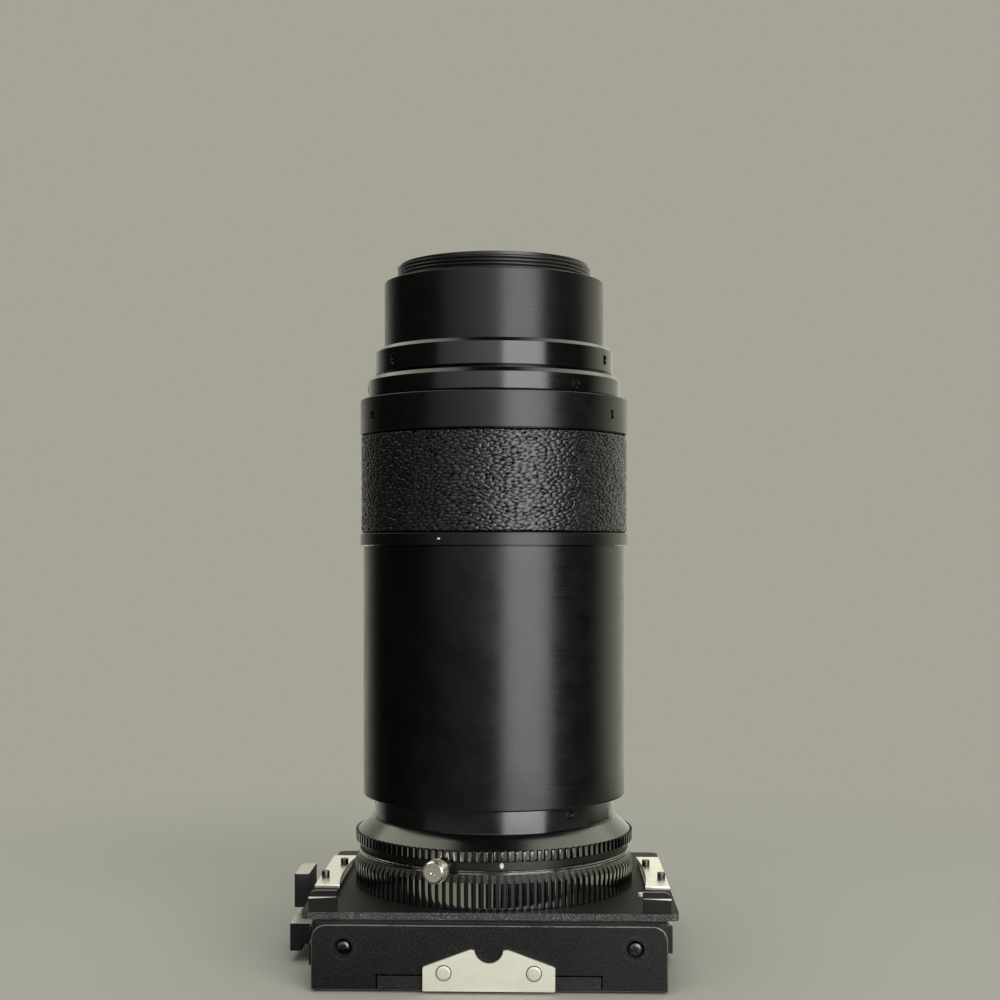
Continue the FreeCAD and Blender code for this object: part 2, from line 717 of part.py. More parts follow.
# ---- clamping shoes on the stage --------------------------------------------
def shoe_screw_places():
    """Place of each screw and the level its shank reaches: the front pair ends in its shoe."""
    plate_top = tray_top + shoe_height + shoe_plate_thickness
    front = [(side * shoe_screw_front_x, shoe_screw_front_y, plate_top - shoe_screw_front_shank)
             for side in (-1, 1)]
    rear = [(side * shoe_screw_rear_x, shoe_screw_rear_y, cavity_top) for side in (-1, 1)]
    return front + rear


def shoe_anchor_places():
    """What goes down through the tray into the housing: the rear screws and the shoes' pegs."""
    pegs = [(side * shoe_screw_rear_x, shoe_peg_y, tray_z - shoe_peg_in_housing) for side in (-1, 1)]
    rear = [(side * shoe_screw_rear_x, shoe_screw_rear_y, cavity_top - 1) for side in (-1, 1)]
    return pegs + rear


def shoe(side):
    """Block that holds the tray down, with a peg that keeps it from turning on its rear screw."""
    x_low, x_high = sorted((side * shoe_inner_x, side * shoe_outer_x))
    body = box(x_low, x_high, -shoe_half_depth, shoe_half_depth, tray_top, tray_top + shoe_height)
    for x, y, bottom in shoe_screw_places():
        body = body.cut(disc(shoe_screw_shank_radius, max(bottom, tray_top - 1), tray_top + shoe_height + 1, x, y))
    peg = disc(shoe_screw_shank_radius, tray_z - shoe_peg_in_housing, tray_top + 0.5,
               side * shoe_screw_rear_x, shoe_peg_y)
    return body.fuse(peg)


def shoe_plate(side):
    """Bright cover of a shoe; its inner edge is hollowed to a shallow arc."""
    inner = shoe_inner_x - shoe_plate_overhang
    outer = shoe_outer_x + shoe_plate_overhang
    half = shoe_half_depth + shoe_plate_overhang
    bottom = tray_top + shoe_height
    x_low, x_high = sorted((side * inner, side * outer))
    plate = box(x_low, x_high, -half, half, bottom, bottom + shoe_plate_thickness)
    arc_radius = half * half / (2 * shoe_plate_arc_depth) + shoe_plate_arc_depth / 2
    arc_middle = side * (inner + shoe_plate_arc_depth - arc_radius)
    plate = plate.cut(disc(arc_radius, bottom - 1, bottom + shoe_plate_thickness + 1, arc_middle, 0))
    for x, y, _ in shoe_screw_places():
        plate = plate.cut(disc(shoe_screw_shank_radius, bottom - 1, bottom + 2, x, y))
    return plate


def shoe_screw(x, y, shank_bottom):
    plate_top = tray_top + shoe_height + shoe_plate_thickness
    shank = disc(shoe_screw_shank_radius, shank_bottom, plate_top, x, y)
    head = disc(shoe_screw_head_radius, plate_top, plate_top + shoe_screw_head_height, x, y)
    half_slot = grub_screw_slot_width / 2
    slot = box(x - 2 * shoe_screw_head_radius, x + 2 * shoe_screw_head_radius, y - half_slot, y + half_slot,
               plate_top + shoe_screw_head_height - grub_screw_slot_depth,
               plate_top + shoe_screw_head_height + 1)
    return shank.fuse(head).cut(slot)


def shoe_parts():
    return {
        "shoe_left": shoe(-1),
        "shoe_right": shoe(1),
        "shoe_plate_left": shoe_plate(-1),
        "shoe_plate_right": shoe_plate(1),
        "shoe_screws": group([shoe_screw(*place) for place in shoe_screw_places()]),
    }


# ---- turning head -----------------------------------------------------------
def head_screw_places():
    places = []
    for i in range(head_screw_count):
        angle = math.radians(45 + 360 * i / head_screw_count)
        places.append((head_screw_circle * math.cos(angle), head_screw_circle * math.sin(angle)))
    return places


def head_screw(x, y):
    head_height = tray_thickness * 0.7
    head = disc(head_screw_head_radius, tray_z + 0.1, tray_z + 0.1 + head_height, x, y)
    shank = disc(head_screw_shank_radius, tray_z + 0.1, tray_z + head_screw_shank_length, x, y)
    half_slot = head_screw_head_radius * 0.14
    slot = box(x - 3, x + 3, y - half_slot, y + half_slot, tray_z - 1, tray_z + 0.1 + head_height * 0.5)
    return head.fuse(shank).cut(slot)


def tray_tab(side):
    """Upturned tab at a front corner of the tray, with a ledge below its rounded top."""
    x_low, x_high = sorted((side * (tray_tab_outer_x - tray_tab_width), side * tray_tab_outer_x))
    front = -tray_half_depth
    back = front + tray_thickness
    ledge_z = tray_top + tray_tab_ledge_height
    top = tray_top + tray_tab_height
    radius = tray_tab_corner_radius
    tab = box(x_low, x_high, front, back, tray_z, top)
    tab = tab.cut(box(x_low, x_high, front - 1, front + tray_tab_ledge_depth, ledge_z, top + 1))
    arc_x = side * (tray_tab_outer_x - radius)
    corner_low, corner_high = sorted((arc_x, side * (tray_tab_outer_x + 1)))
    corner = box(corner_low, corner_high, front - 1, back + 1, top - radius, top + 1)
    round_off = Part.makeCylinder(radius, back - front + 2, FreeCAD.Vector(arc_x, front - 1, top - radius),
                                  FreeCAD.Vector(0, 1, 0))
    return tab.cut(corner.cut(round_off))


def head_tray():
    tray = rounded_slab(tray_half_width, tray_half_depth, tray_z, tray_top, tray_corner_radius)
    tray = tray.fuse(tray_tab(-1)).fuse(tray_tab(1))
    tray = tray.cut(disc(tray_bore_radius, tray_z - 1, tray_top + 1))
    reach = head_shift_travel + slide_gap
    half = shoe_screw_shank_radius + pin_gap
    for x, y, _ in shoe_anchor_places():
        slot = box(x - half, x + half, y - reach, y + reach, tray_z - 1, tray_top + 1)
        slot = slot.fuse(disc(half, tray_z - 1, tray_top + 1, x, y - reach))
        slot = slot.fuse(disc(half, tray_z - 1, tray_top + 1, x, y + reach))
        tray = tray.cut(slot)
    head_height = tray_thickness * 0.7
    for x, y in head_screw_places():
        tray = tray.cut(disc(head_screw_head_radius, tray_z - 1, tray_z + 0.1 + head_height, x, y))
        tray = tray.cut(disc(head_screw_shank_radius, tray_z - 1, tray_top + 1, x, y))
    return tray.cut(disc(stop_pin_radius, tray_z - 1, tray_top + 1, stop_pin_x, stop_pin_y))


def head_ring():
    """Ribbed turning ring with the collar that carries the lock screw."""
    ledge_z = tray_top + head_ledge_above_tray
    ribs = ribbed(ring_crest_radius, rib_depth, rib_count, rib_crest_share, tray_top, ring_top)
    slope = ring_top_chamfer_height / ring_top_chamfer_width
    limit = turned([
        (0, tray_top),
        (ring_crest_radius + 0.1, tray_top),
        (ring_crest_radius + 0.1, ring_top - ring_top_chamfer_height - 0.1 * slope),
        (ring_crest_radius - ring_top_chamfer_width, ring_top),
        (0, ring_top),
    ])
    body = ribs.common(limit)
    body = body.fuse(disc(ring_collar_radius, ring_top - 1, collar_top))
    body = body.cut(disc(ring_bore_radius, ledge_z + head_ledge_thickness, collar_top + 1))
    body = body.cut(disc(spigot_nose_radius + slide_gap, tray_top - 1, collar_top + 1))
    body = body.cut(disc(ring_bore_radius, tray_top - 1, ledge_z))
    body = body.cut(rod(lock_shank_radius + shaft_gap, spigot_radius - 2, ring_crest_radius + 1,
                        lock_bearing, lock_z))
    for x, y in head_screw_places():
        body = body.cut(disc(head_screw_shank_radius, tray_top - 1, tray_z + head_screw_shank_length, x, y))
    return body


def index_ring():
    """Open bright ring that rests on the ribbed ring, with a gap at the lock screw."""
    outer = ring_collar_radius + index_ring_width
    band = tube(outer, ring_collar_radius, ring_top, ring_top + index_ring_height)
    half = outer * math.tan(math.radians(index_ring_gap_degrees / 2))
    gap = box(-half, half, -outer - 1, -ring_collar_radius + 1, ring_top - 1, ring_top + index_ring_height + 1)
    return band.cut(turn(gap, lock_bearing))


def stop_pin():
    pin = disc(stop_pin_radius, tray_z + 0.1, tray_top + stop_pin_height, stop_pin_x, stop_pin_y)
    return pin


def head_parts():
    return {
        "head_tray": head_tray(),
        "head_ring": head_ring(),
        "index_ring": index_ring(),
        "head_screws": group([head_screw(x, y) for x, y in head_screw_places()]),
        "stop_pin": stop_pin(),
    }


def lock_knob():
    """Small knurled screw that locks the head to the barrel foot."""
    shank = rod(lock_shank_radius, ring_bore_radius, lock_head_start + 0.5, lock_bearing, lock_z)
    head = ribbed(lock_head_radius, lock_rib_depth, lock_rib_count, 0.5, 0, lock_head_length)
    crown = turned([
        (0, 0),
        (lock_head_radius - 0.3, 0),
        (lock_head_radius + 0.01, 0.3),
        (lock_head_radius + 0.01, lock_head_length - 0.3),
        (lock_head_radius - 0.3, lock_head_length),
        (0, lock_head_length),
    ])
    head = head.common(crown)
    head.rotate(FreeCAD.Vector(0, 0, 0), FreeCAD.Vector(1, 0, 0), 90)
    head = turn(moved(head, 0, -lock_head_start, lock_z), lock_bearing)
    return shank.fuse(head)


# ---- barrel -----------------------------------------------------------------
def neck_screw_z():
    return neck_top - 1.6


def barrel_foot():
    """Ribbed rim, cone and neck, with the spigot that turns in the head."""
    ledge_z = tray_top + head_ledge_above_tray
    shoulder_z = ledge_z + head_ledge_thickness + slide_gap
    nose_z = ledge_z - slide_gap - retaining_ring_height
    rim_root = foot_rim_radius - rib_depth
    body = turned([
        (foot_bore_radius, nose_z),
        (spigot_nose_radius, nose_z),
        (spigot_nose_radius, shoulder_z),
        (spigot_radius, shoulder_z),
        (spigot_radius, rim_bottom),
        (rim_root, rim_bottom),
        (rim_root, rim_top),
        (foot_cone_top_radius, cone_top),
        (neck_radius, cone_top),
        (neck_radius, neck_top),
        (inner_barrel_radius, neck_top),
        (inner_barrel_radius, barrel_seat_z),
        (foot_bore_radius, barrel_seat_z),
    ])
    ribs = ribbed(foot_rim_radius, rib_depth, rib_count, rib_crest_share, rim_bottom, rim_top)
    ribs = ribs.cut(disc(rim_root - 1.5, rim_bottom - 1, rim_top + 1))
    body = body.fuse(ribs)
    for k in range(3):
        body = body.cut(rod(neck_screw_radius, inner_barrel_radius - 1, neck_radius + 1,
                            neck_screw_bearing + 120 * k, neck_screw_z()))
    return body


def retaining_ring():
    ledge_z = tray_top + head_ledge_above_tray
    top = ledge_z - slide_gap
    return tube(spigot_radius, spigot_nose_radius, top - retaining_ring_height, top)


def straight_slot(pin_z, travel_down, travel_up):
    """Cutter for an upright slot in the inner barrel, at the front."""
    half = guide_pin_radius + pin_gap
    z0 = pin_z - travel_down
    z1 = pin_z + travel_up
    r0 = inner_barrel_bore - 2
    r1 = inner_barrel_radius + 1
    slot = box(-half, half, -r1, -r0, z0, z1)
    slot = slot.fuse(rod(half, r0, r1, 0, z0))
    return slot.fuse(rod(half, r0, r1, 0, z1))


def inner_barrel():
    body = tube(inner_barrel_radius, inner_barrel_bore, barrel_seat_z, inner_barrel_top)
    for cutter in around(straight_slot(carriage_pin_z, carriage_travel, 0), 3):
        body = body.cut(cutter)
    for cutter in around(straight_slot(camera_pin_z, 0, camera_tube_travel), 3):
        body = body.cut(cutter)
    seat = inner_barrel_radius - (inner_barrel_radius - inner_barrel_bore) * 0.5
    for k in range(3):
        body = body.cut(rod(neck_screw_radius, seat, inner_barrel_radius + 1,
                            neck_screw_bearing + 120 * k, neck_screw_z()))
    return body


def sleeve():
    foot_top = neck_top + sleeve_foot_height
    return turned([
        (inner_barrel_radius, neck_top),
        (sleeve_radius, neck_top),
        (sleeve_radius, sleeve_top),
        (sleeve_spigot_radius, sleeve_top),
        (sleeve_spigot_radius, sleeve_top + sleeve_spigot_length),
        (sleeve_bore, sleeve_top + sleeve_spigot_length),
        (sleeve_bore, foot_top),
        (inner_barrel_radius, foot_top),
    ])


def end_collar():
    body = turned([
        (inner_barrel_radius, end_collar_bottom),
        (end_collar_radius, end_collar_bottom),
        (end_collar_radius, end_collar_top - end_collar_chamfer),
        (end_collar_radius - end_collar_chamfer, end_collar_top),
        (inner_barrel_bore, end_collar_top),
        (inner_barrel_bore, inner_barrel_top),
        (inner_barrel_radius, inner_barrel_top),
    ])
    z = end_collar_bottom + (end_collar_height - end_collar_chamfer) / 2
    for k in range(3):
        body = body.cut(rod(collar_screw_radius, inner_barrel_radius - 1, end_collar_radius + 1,
                            end_collar_screw_bearing + 120 * k, z))
    return body


def barrel_parts():
    seat = inner_barrel_radius - (inner_barrel_radius - inner_barrel_bore) * 0.5
    neck_screws = grub_screw(neck_screw_radius, seat, neck_radius - 0.05, neck_screw_bearing, neck_screw_z())
    collar_z = end_collar_bottom + (end_collar_height - end_collar_chamfer) / 2
    collar_screws = grub_screw(collar_screw_radius, inner_barrel_radius, end_collar_radius - 0.1,
                               end_collar_screw_bearing, collar_z)
    return {
        "barrel_foot": barrel_foot(),
        "retaining_ring": retaining_ring(),
        "neck_screws": group(around(neck_screws, 3)),
        "inner_barrel": inner_barrel(),
        "barrel_sleeve": sleeve(),
        "lower_baffle": tube(inner_barrel_bore, baffle_hole_radius, lower_baffle_z,
                             lower_baffle_z + baffle_thickness),
        "end_collar": end_collar(),
        "end_collar_screws": group(around(collar_screws, 3)),
    }


# ---- zoom ring and cam tube -------------------------------------------------
def cam_slot(pin_z, rise):
    """Cutter for a sloping slot in the cam tube; a positive rise climbs towards the left."""
    turn_angle = math.radians(zoom_turn_degrees)
    middle = cam_tube_radius - cam_tube_wall / 2
    height = abs(rise)
    pitch = height * 2 * math.pi / turn_angle
    slope = math.atan2(height, middle * turn_angle)
    half = (guide_pin_radius + pin_gap) / math.cos(slope)
    low_z = pin_z if rise > 0 else pin_z - height
    path = Part.makeHelix(pitch, height, middle, 0, rise > 0)
    r0 = middle - cam_tube_wall
    r1 = middle + cam_tube_wall
    corners = [FreeCAD.Vector(r0, 0, -half), FreeCAD.Vector(r1, 0, -half),
               FreeCAD.Vector(r1, 0, half), FreeCAD.Vector(r0, 0, half)]
    profile = Part.makePolygon(corners + corners[:1])
    slot = Part.Wire(path).makePipeShell([profile], True, True)
    start = 0 if rise > 0 else -zoom_turn_degrees
    slot = turn(moved(slot, 0, 0, low_z), -90 + start)
    round_radius = guide_pin_radius + pin_gap
    slot = slot.fuse(rod(round_radius, r0, r1, 0, pin_z))
    return slot.fuse(rod(round_radius, r0, r1, -zoom_turn_degrees, pin_z + rise))


def cam_tube():
    body = tube(cam_tube_radius, cam_bore, cam_tube_bottom_z, zoom_top)
    for cutter in around(cam_slot(carriage_pin_z, -carriage_travel), 3):
        body = body.cut(cutter)
    for cutter in around(cam_slot(camera_pin_z, camera_tube_travel), 3):
        body = body.cut(cutter)
    return body


def zoom_ring():
    grip_bed = grip_radius - grip_thickness
    grip_bottom = zoom_bottom + grip_bottom_offset
    grip_top = grip_bottom + grip_length
    body = turned([
        (zoom_bore, zoom_bottom),
        (zoom_ring_radius, zoom_bottom),
        (zoom_ring_radius, grip_bottom),
        (grip_bed, grip_bottom),
        (grip_bed, grip_top),
        (zoom_ring_radius, grip_top),
        (zoom_ring_radius, zoom_top - zoom_clamp_chamfer),
        (zoom_ring_radius - zoom_clamp_chamfer, zoom_top),
        (cam_tube_radius, zoom_top),
        (cam_tube_radius, clamp_bottom),
        (zoom_bore, clamp_bottom),
    ])
    for k in range(3):
        body = body.cut(rod(zoom_screw_radius, cam_tube_radius - 1, zoom_ring_radius + 1,
                            zoom_screw_bearing + 120 * k, clamp_bottom + zoom_screw_above_clamp))
    return body


def zoom_parts():
    grip_bottom = zoom_bottom + grip_bottom_offset
    screw = grub_screw(zoom_screw_radius, cam_tube_radius, zoom_ring_radius - 0.1, zoom_screw_bearing,
                       clamp_bottom + zoom_screw_above_clamp)
    return {
        "zoom_ring": zoom_ring(),
        "cam_tube": cam_tube(),
        "grip_sleeve": tube(grip_radius, grip_radius - grip_thickness, grip_bottom, grip_bottom + grip_length),
        "zoom_ring_screws": group(around(screw, 3)),
    }


# ---- sliding camera tube ----------------------------------------------------
def thread_ring():
    """Male camera thread with the plug that fills the end of the camera tube."""
    plug_z = camera_tube_top_z - thread_plug_length
    end_z = camera_tube_top_z + thread_length
    root = thread_major_radius - thread_depth
    outline = [(thread_bore_radius, plug_z), (camera_tube_bore, plug_z), (camera_tube_bore, camera_tube_top_z),
               (root, camera_tube_top_z)]
    turns = int(thread_length / thread_pitch)
    start = end_z - turns * thread_pitch
    outline.append((root, start))
    for i in range(turns):
        z = start + i * thread_pitch
        outline.append((thread_major_radius, z + thread_pitch * 0.45))
        outline.append((thread_major_radius, z + thread_pitch * 0.55))
        outline.append((root, z + thread_pitch))
    outline.append((thread_bore_radius, end_z))
    return turned(outline)


def stop_collar():
    top = stop_collar_bottom + stop_collar_height
    body = turned([
        (camera_tube_radius, stop_collar_bottom),
        (stop_collar_radius, stop_collar_bottom),
        (stop_collar_radius, top - stop_collar_chamfer),
        (stop_collar_radius - stop_collar_chamfer, top),
        (camera_tube_radius, top),
    ])
    for k in range(3):
        body = body.cut(rod(collar_screw_radius, camera_tube_radius - 1, stop_collar_radius + 1,
                            stop_collar_screw_bearing + 120 * k, stop_collar_screw_z()))
    return body


def stop_collar_screw_z():
    return stop_collar_bottom + (stop_collar_height - stop_collar_chamfer) / 2


def guide_pins(start, z):
    return group(around(rod(guide_pin_radius, start, pin_tip_radius, 0, z), 3))


def camera_tube():
    body = tube(camera_tube_radius, camera_tube_bore, camera_tube_bottom_z, camera_tube_top_z)
    for cutter in around(rod(guide_pin_radius, camera_tube_bore - 1, camera_tube_radius + 1, 0, camera_pin_z), 3):
        body = body.cut(cutter)
    return body


def camera_tube_parts():
    screw = grub_screw(collar_screw_radius, camera_tube_radius, stop_collar_radius - 0.1,
                       stop_collar_screw_bearing, stop_collar_screw_z())
    return {
        "camera_tube": camera_tube(),
        "camera_tube_pins": guide_pins(camera_tube_bore, camera_pin_z),
        "camera_baffle": tube(camera_tube_bore, baffle_hole_radius, camera_baffle_z,
                              camera_baffle_z + baffle_thickness),
        "stop_collar": stop_collar(),
        "stop_collar_screws": group(around(screw, 3)),
        "camera_thread": thread_ring(),
    }


# ---- lens carriage ----------------------------------------------------------
def lens_carriage():
    top = carriage_bottom_z + carriage_length
    body = tube(carriage_radius, carriage_bore, carriage_bottom_z, top)
    body = body.fuse(tube(carriage_bore, cell_radius, web_bottom, web_top))
    for cutter in around(rod(guide_pin_radius, carriage_bore - 1, carriage_radius + 1, 0, carriage_pin_z), 3):
        body = body.cut(cutter)
    return body


def lens_cell():
    bottom = web_bottom - cell_below_web
    flange_top = web_top + cell_flange_height
    return turned([
        (glass_radius, bottom),
        (cell_radius, bottom),
        (cell_radius, web_top),
        (cell_flange_radius, web_top),
        (cell_flange_radius, flange_top),
        (cell_radius, flange_top),
        (cell_radius, flange_top + cell_above_flange),
        (glass_radius, flange_top + cell_above_flange),
    ])


def ring_seat(curve):
    """Height that a bulging face rises from its rim to the opening of the ring it rests on."""
    return sag(glass_radius, curve) - sag(ring_opening_radius, curve)


def lens_parts():
    """Glass, spacers and retainers stacked from the slide side upwards."""
    parts = {}
    z = web_bottom - cell_below_web + cell_end_lip
    parts["lower_retainer"] = tube(glass_radius, ring_opening_radius, z, z + lower_retainer_height)
    z += lower_retainer_height + ring_seat(front_glass_curve)
    parts["front_glass"] = lens(glass_radius, z, z + front_glass_edge, front_glass_curve, front_glass_curve)
    z += front_glass_edge + ring_seat(front_glass_curve)
    parts["lower_spacer"] = tube(glass_radius, ring_opening_radius, z, z + lower_spacer_height)
    z += lower_spacer_height
    parts["middle_glass"] = lens(glass_radius, z, z + middle_glass_edge,
                                 -middle_glass_low_curve, -middle_glass_high_curve)
    z += middle_glass_edge
    parts["stop_plate"] = tube(glass_radius, stop_hole_radius, z, z + stop_plate_thickness)
    z += stop_plate_thickness
    parts["upper_spacer"] = tube(glass_radius, ring_opening_radius, z, z + upper_spacer_height)
    z += upper_spacer_height
    parts["flint_glass"] = lens(glass_radius, z, z + flint_glass_edge, 0, -cement_curve)
    z += flint_glass_edge
    parts["crown_glass"] = lens(glass_radius, z, z + crown_glass_edge, cement_curve, crown_top_curve)
    z += crown_glass_edge + ring_seat(crown_top_curve)
    parts["upper_retainer"] = tube(glass_radius, ring_opening_radius, z, z + upper_retainer_height)
    return parts


def carriage_parts():
    parts = {
        "lens_carriage": lens_carriage(),
        "lens_carriage_pins": guide_pins(carriage_bore, carriage_pin_z),
        "lens_cell": lens_cell(),
    }
    parts.update(lens_parts())
    return parts


# ---- export -----------------------------------------------------------------
def all_parts():
    parts = {}
    for make in (stage_parts, drawer_parts, gate_parts, shoe_parts, head_parts, barrel_parts, zoom_parts,
                 camera_tube_parts, carriage_parts):
        parts.update(make())
    parts["lock_knob"] = lock_knob()
    return parts


os.makedirs("parts", exist_ok=True)
for node_name, node_shape in all_parts().items():
    node_shape.exportStep("parts/" + node_name + ".step")
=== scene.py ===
"""Looks of the zoom slide duplicator: finishes, turned and flat pieces, studio and camera.

Sizes are in millimetres and bearings in degrees from the front (-Y) towards +X,
until a mesh is stored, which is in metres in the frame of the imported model.
"""

import json
import logging
import math
from collections.abc import Callable, Iterator, Sequence
from contextlib import contextmanager
from dataclasses import dataclass
from enum import Enum
from typing import ClassVar

import bmesh
import bpy
import numpy as np
from mathutils import Matrix, Vector

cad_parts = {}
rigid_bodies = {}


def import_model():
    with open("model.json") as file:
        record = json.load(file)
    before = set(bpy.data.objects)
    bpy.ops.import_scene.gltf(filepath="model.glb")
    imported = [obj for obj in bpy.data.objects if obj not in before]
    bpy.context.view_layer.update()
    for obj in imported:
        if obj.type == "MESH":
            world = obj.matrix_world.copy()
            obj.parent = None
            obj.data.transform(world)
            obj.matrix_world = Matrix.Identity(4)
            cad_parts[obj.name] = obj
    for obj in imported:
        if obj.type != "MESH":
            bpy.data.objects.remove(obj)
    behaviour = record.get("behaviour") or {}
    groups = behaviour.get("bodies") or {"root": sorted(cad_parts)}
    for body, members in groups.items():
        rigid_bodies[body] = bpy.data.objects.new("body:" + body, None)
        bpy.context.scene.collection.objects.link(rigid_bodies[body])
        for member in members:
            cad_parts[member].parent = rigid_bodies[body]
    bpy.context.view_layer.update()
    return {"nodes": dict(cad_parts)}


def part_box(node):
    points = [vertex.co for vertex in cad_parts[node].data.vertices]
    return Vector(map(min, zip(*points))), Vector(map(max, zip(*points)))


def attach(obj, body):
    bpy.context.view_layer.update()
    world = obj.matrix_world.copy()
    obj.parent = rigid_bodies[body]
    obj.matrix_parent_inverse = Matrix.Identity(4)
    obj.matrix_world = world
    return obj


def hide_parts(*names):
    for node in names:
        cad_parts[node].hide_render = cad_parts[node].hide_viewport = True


MM = 0.001
FULL_TURN = 2 * math.pi
ROUND = 256     # pieces of the full turn of a large turned piece
CRISP = 32.0    # edges bent by more than this many degrees stay crisp
LOG = logging.getLogger("slide_duplicator")

Colour = tuple[float, float, float]
Corner = tuple[float, float, float]
Outline = list[tuple[float, float]]
Node = bpy.types.Node
Socket = bpy.types.NodeSocket
Thing = bpy.types.Object


# ---- node trees ---------------------------------------------------------------
class Graph:
    """Adds and links the nodes of one tree."""

    def __init__(self, tree: bpy.types.NodeTree) -> None:
        """Keeps the tree that is written to."""
        self.tree = tree

    def add(self, kind: str, inputs: dict | None = None, **settings: object) -> Node:
        """Adds one node.

        Args:
            kind: the node's type name.
            inputs: values or output sockets for its inputs, by name or number.
            settings: properties set on the node.

        Returns:
            The new node.
        """
        node = self.tree.nodes.new(kind)
        for key, value in settings.items():
            setattr(node, key, value)
        for key, value in (inputs or {}).items():
            socket = node.inputs[key]
            if isinstance(value, Socket):
                self.tree.links.new(value, socket)
            else:
                socket.default_value = (*value, 1.0) if socket.type == "RGBA" else value
        return node

    def place(self) -> Socket:
        """Place on the object, in metres."""
        return self.add("ShaderNodeTexCoord").outputs["Object"]

    def noise(self, source: Socket, scale: float, detail: float = 3.0, roughness: float = 0.55) -> Socket:
        """Fractal noise, 0 to 1, at a scale in cells per metre."""
        return self.add("ShaderNodeTexNoise", {
            "Vector": source, "Scale": scale, "Detail": detail, "Roughness": roughness}).outputs["Fac"]

    def stretched_noise(self, source: Socket, scale: Sequence[float], detail: float) -> Socket:
        """Fractal noise with its own scale along each axis."""
        mapped = self.add("ShaderNodeMapping", {"Vector": source, "Scale": scale})
        return self.noise(mapped.outputs["Vector"], 1.0, detail)

    def cells(self, source: Socket, scale: float, feature: str = "F1") -> Socket:
        """Cell pattern at a scale in cells per metre."""
        node = self.add("ShaderNodeTexVoronoi", {"Vector": source, "Scale": scale}, feature=feature)
        return node.outputs["Distance"]

    def vector(self, operation: str, a: object, b: object, key: int | str = 1) -> Node:
        """One step of arithmetic on two vectors, or on a vector and its scale."""
        return self.add("ShaderNodeVectorMath", {0: a, key: b}, operation=operation)

    def math(self, operation: str, a: object, b: object = 0.0, clamp: bool = False) -> Socket:
        """One step of arithmetic on two values."""
        return self.add("ShaderNodeMath", {0: a, 1: b}, operation=operation, use_clamp=clamp).outputs[0]

    def plus(self, a: object, b: object) -> Socket:
        """Sum of two values."""
        return self.math("ADD", a, b)

    def times(self, a: object, b: object, clamp: bool = False) -> Socket:
        """Product of two values."""
        return self.math("MULTIPLY", a, b, clamp)

    def between(self, value: Socket, low: float, high: float, to_low: float = 0.0, to_high: float = 1.0,
                kind: str = "SMOOTHSTEP") -> Socket:
        """Carries a value from one range to another, clamped, with soft ends."""
        ranges = {"Value": value, "From Min": low, "From Max": high, "To Min": to_low, "To Max": to_high}
        return self.add("ShaderNodeMapRange", ranges, interpolation_type=kind).outputs["Result"]

    def blend(self, factor: object, low: object, high: object) -> Socket:
        """Mixes two colours by a factor."""
        return self.add("ShaderNodeMix", {0: factor, 6: low, 7: high}, data_type="RGBA").outputs[2]

    def surface(self, colour: object, roughness: object, height: Socket, depth_mm: float,
                more: dict | None = None) -> Node:
        """Adds the shader of a surface with a fine relief.

        Args:
            colour: its colour.
            roughness: its roughness.
            height: height of the relief, 0 to 1.
            depth_mm: depth of the relief.
            more: further inputs of the shader.

        Returns:
            The shader.
        """
        bump = self.add("ShaderNodeBump", {"Height": height, "Distance": depth_mm * MM, "Strength": 1.0})
        return self.add("ShaderNodeBsdfPrincipled", {
            "Base Color": colour, "Roughness": roughness, "Normal": bump.outputs["Normal"], **(more or {})})


def emptied(owner: bpy.types.Material | bpy.types.World) -> Graph:
    """Gives a material or world an empty tree.

    Args:
        owner: the material or world.

    Returns:
        Its tree.
    """
    owner.use_nodes = True
    owner.node_tree.nodes.clear()
    return Graph(owner.node_tree)


def grey(level: float, blue: float = 1.0) -> Colour:
    """Grey of a level, with its blue scaled."""
    return level, level, level * blue


def scaled(colour: Colour, by: float) -> Colour:
    """Colour made darker or lighter by a factor."""
    return colour[0] * by, colour[1] * by, colour[2] * by


# ---- finishes -----------------------------------------------------------------
@dataclass(frozen=True)
class Finish:
    """A finish: the material is named, its shader is filled in by a subclass."""

    name: str

    def make(self) -> bpy.types.Material:
        """Builds the material once.

        Returns:
            The material, with its shader linked to the output.
        """
        material = bpy.data.materials.get(self.name)
        if material is None:
            material = bpy.data.materials.new(self.name)
            graph = emptied(material)
            graph.add("ShaderNodeOutputMaterial", {"Surface": self.shade(graph).outputs[0]})
        return material

    def shade(self, graph: Graph) -> Node:
        """Adds the shader; each finish has its own."""
        raise NotImplementedError


@dataclass(frozen=True)
class TurnedBlack(Finish):
    """Satin black anodised aluminium with the fine lines that the lathe left."""

    tone: float = 0.011
    roughness: float = 0.3
    line_mm: float = 0.12
    line_depth: float = 0.0016
    gloss: float = 0.5

    def shade(self, graph: Graph) -> Node:
        """Lines run round the axis; tone and gloss drift a little over the surface.

        Args:
            graph: the material's tree.

        Returns:
            The shader.
        """
        place = graph.place()
        lines = graph.stretched_noise(place, (40.0, 40.0, 1.0 / (self.line_mm * MM)), 2.0)
        drift = graph.noise(place, 160.0, 4.0)
        grain = graph.noise(place, 5200.0, 2.0)
        colour = graph.blend(graph.between(drift, 0.3, 0.7), grey(self.tone * 0.8, 0.975),
                             grey(self.tone * 1.25, 0.96))
        rough = graph.plus(graph.between(lines, 0.2, 0.8, self.roughness - 0.035, self.roughness + 0.035),
                           graph.between(drift, 0.3, 0.7, -0.02, 0.03))
        return graph.surface(colour, rough, graph.plus(lines, graph.times(grain, 0.6)), self.line_depth,
                             {"Specular IOR Level": self.gloss})


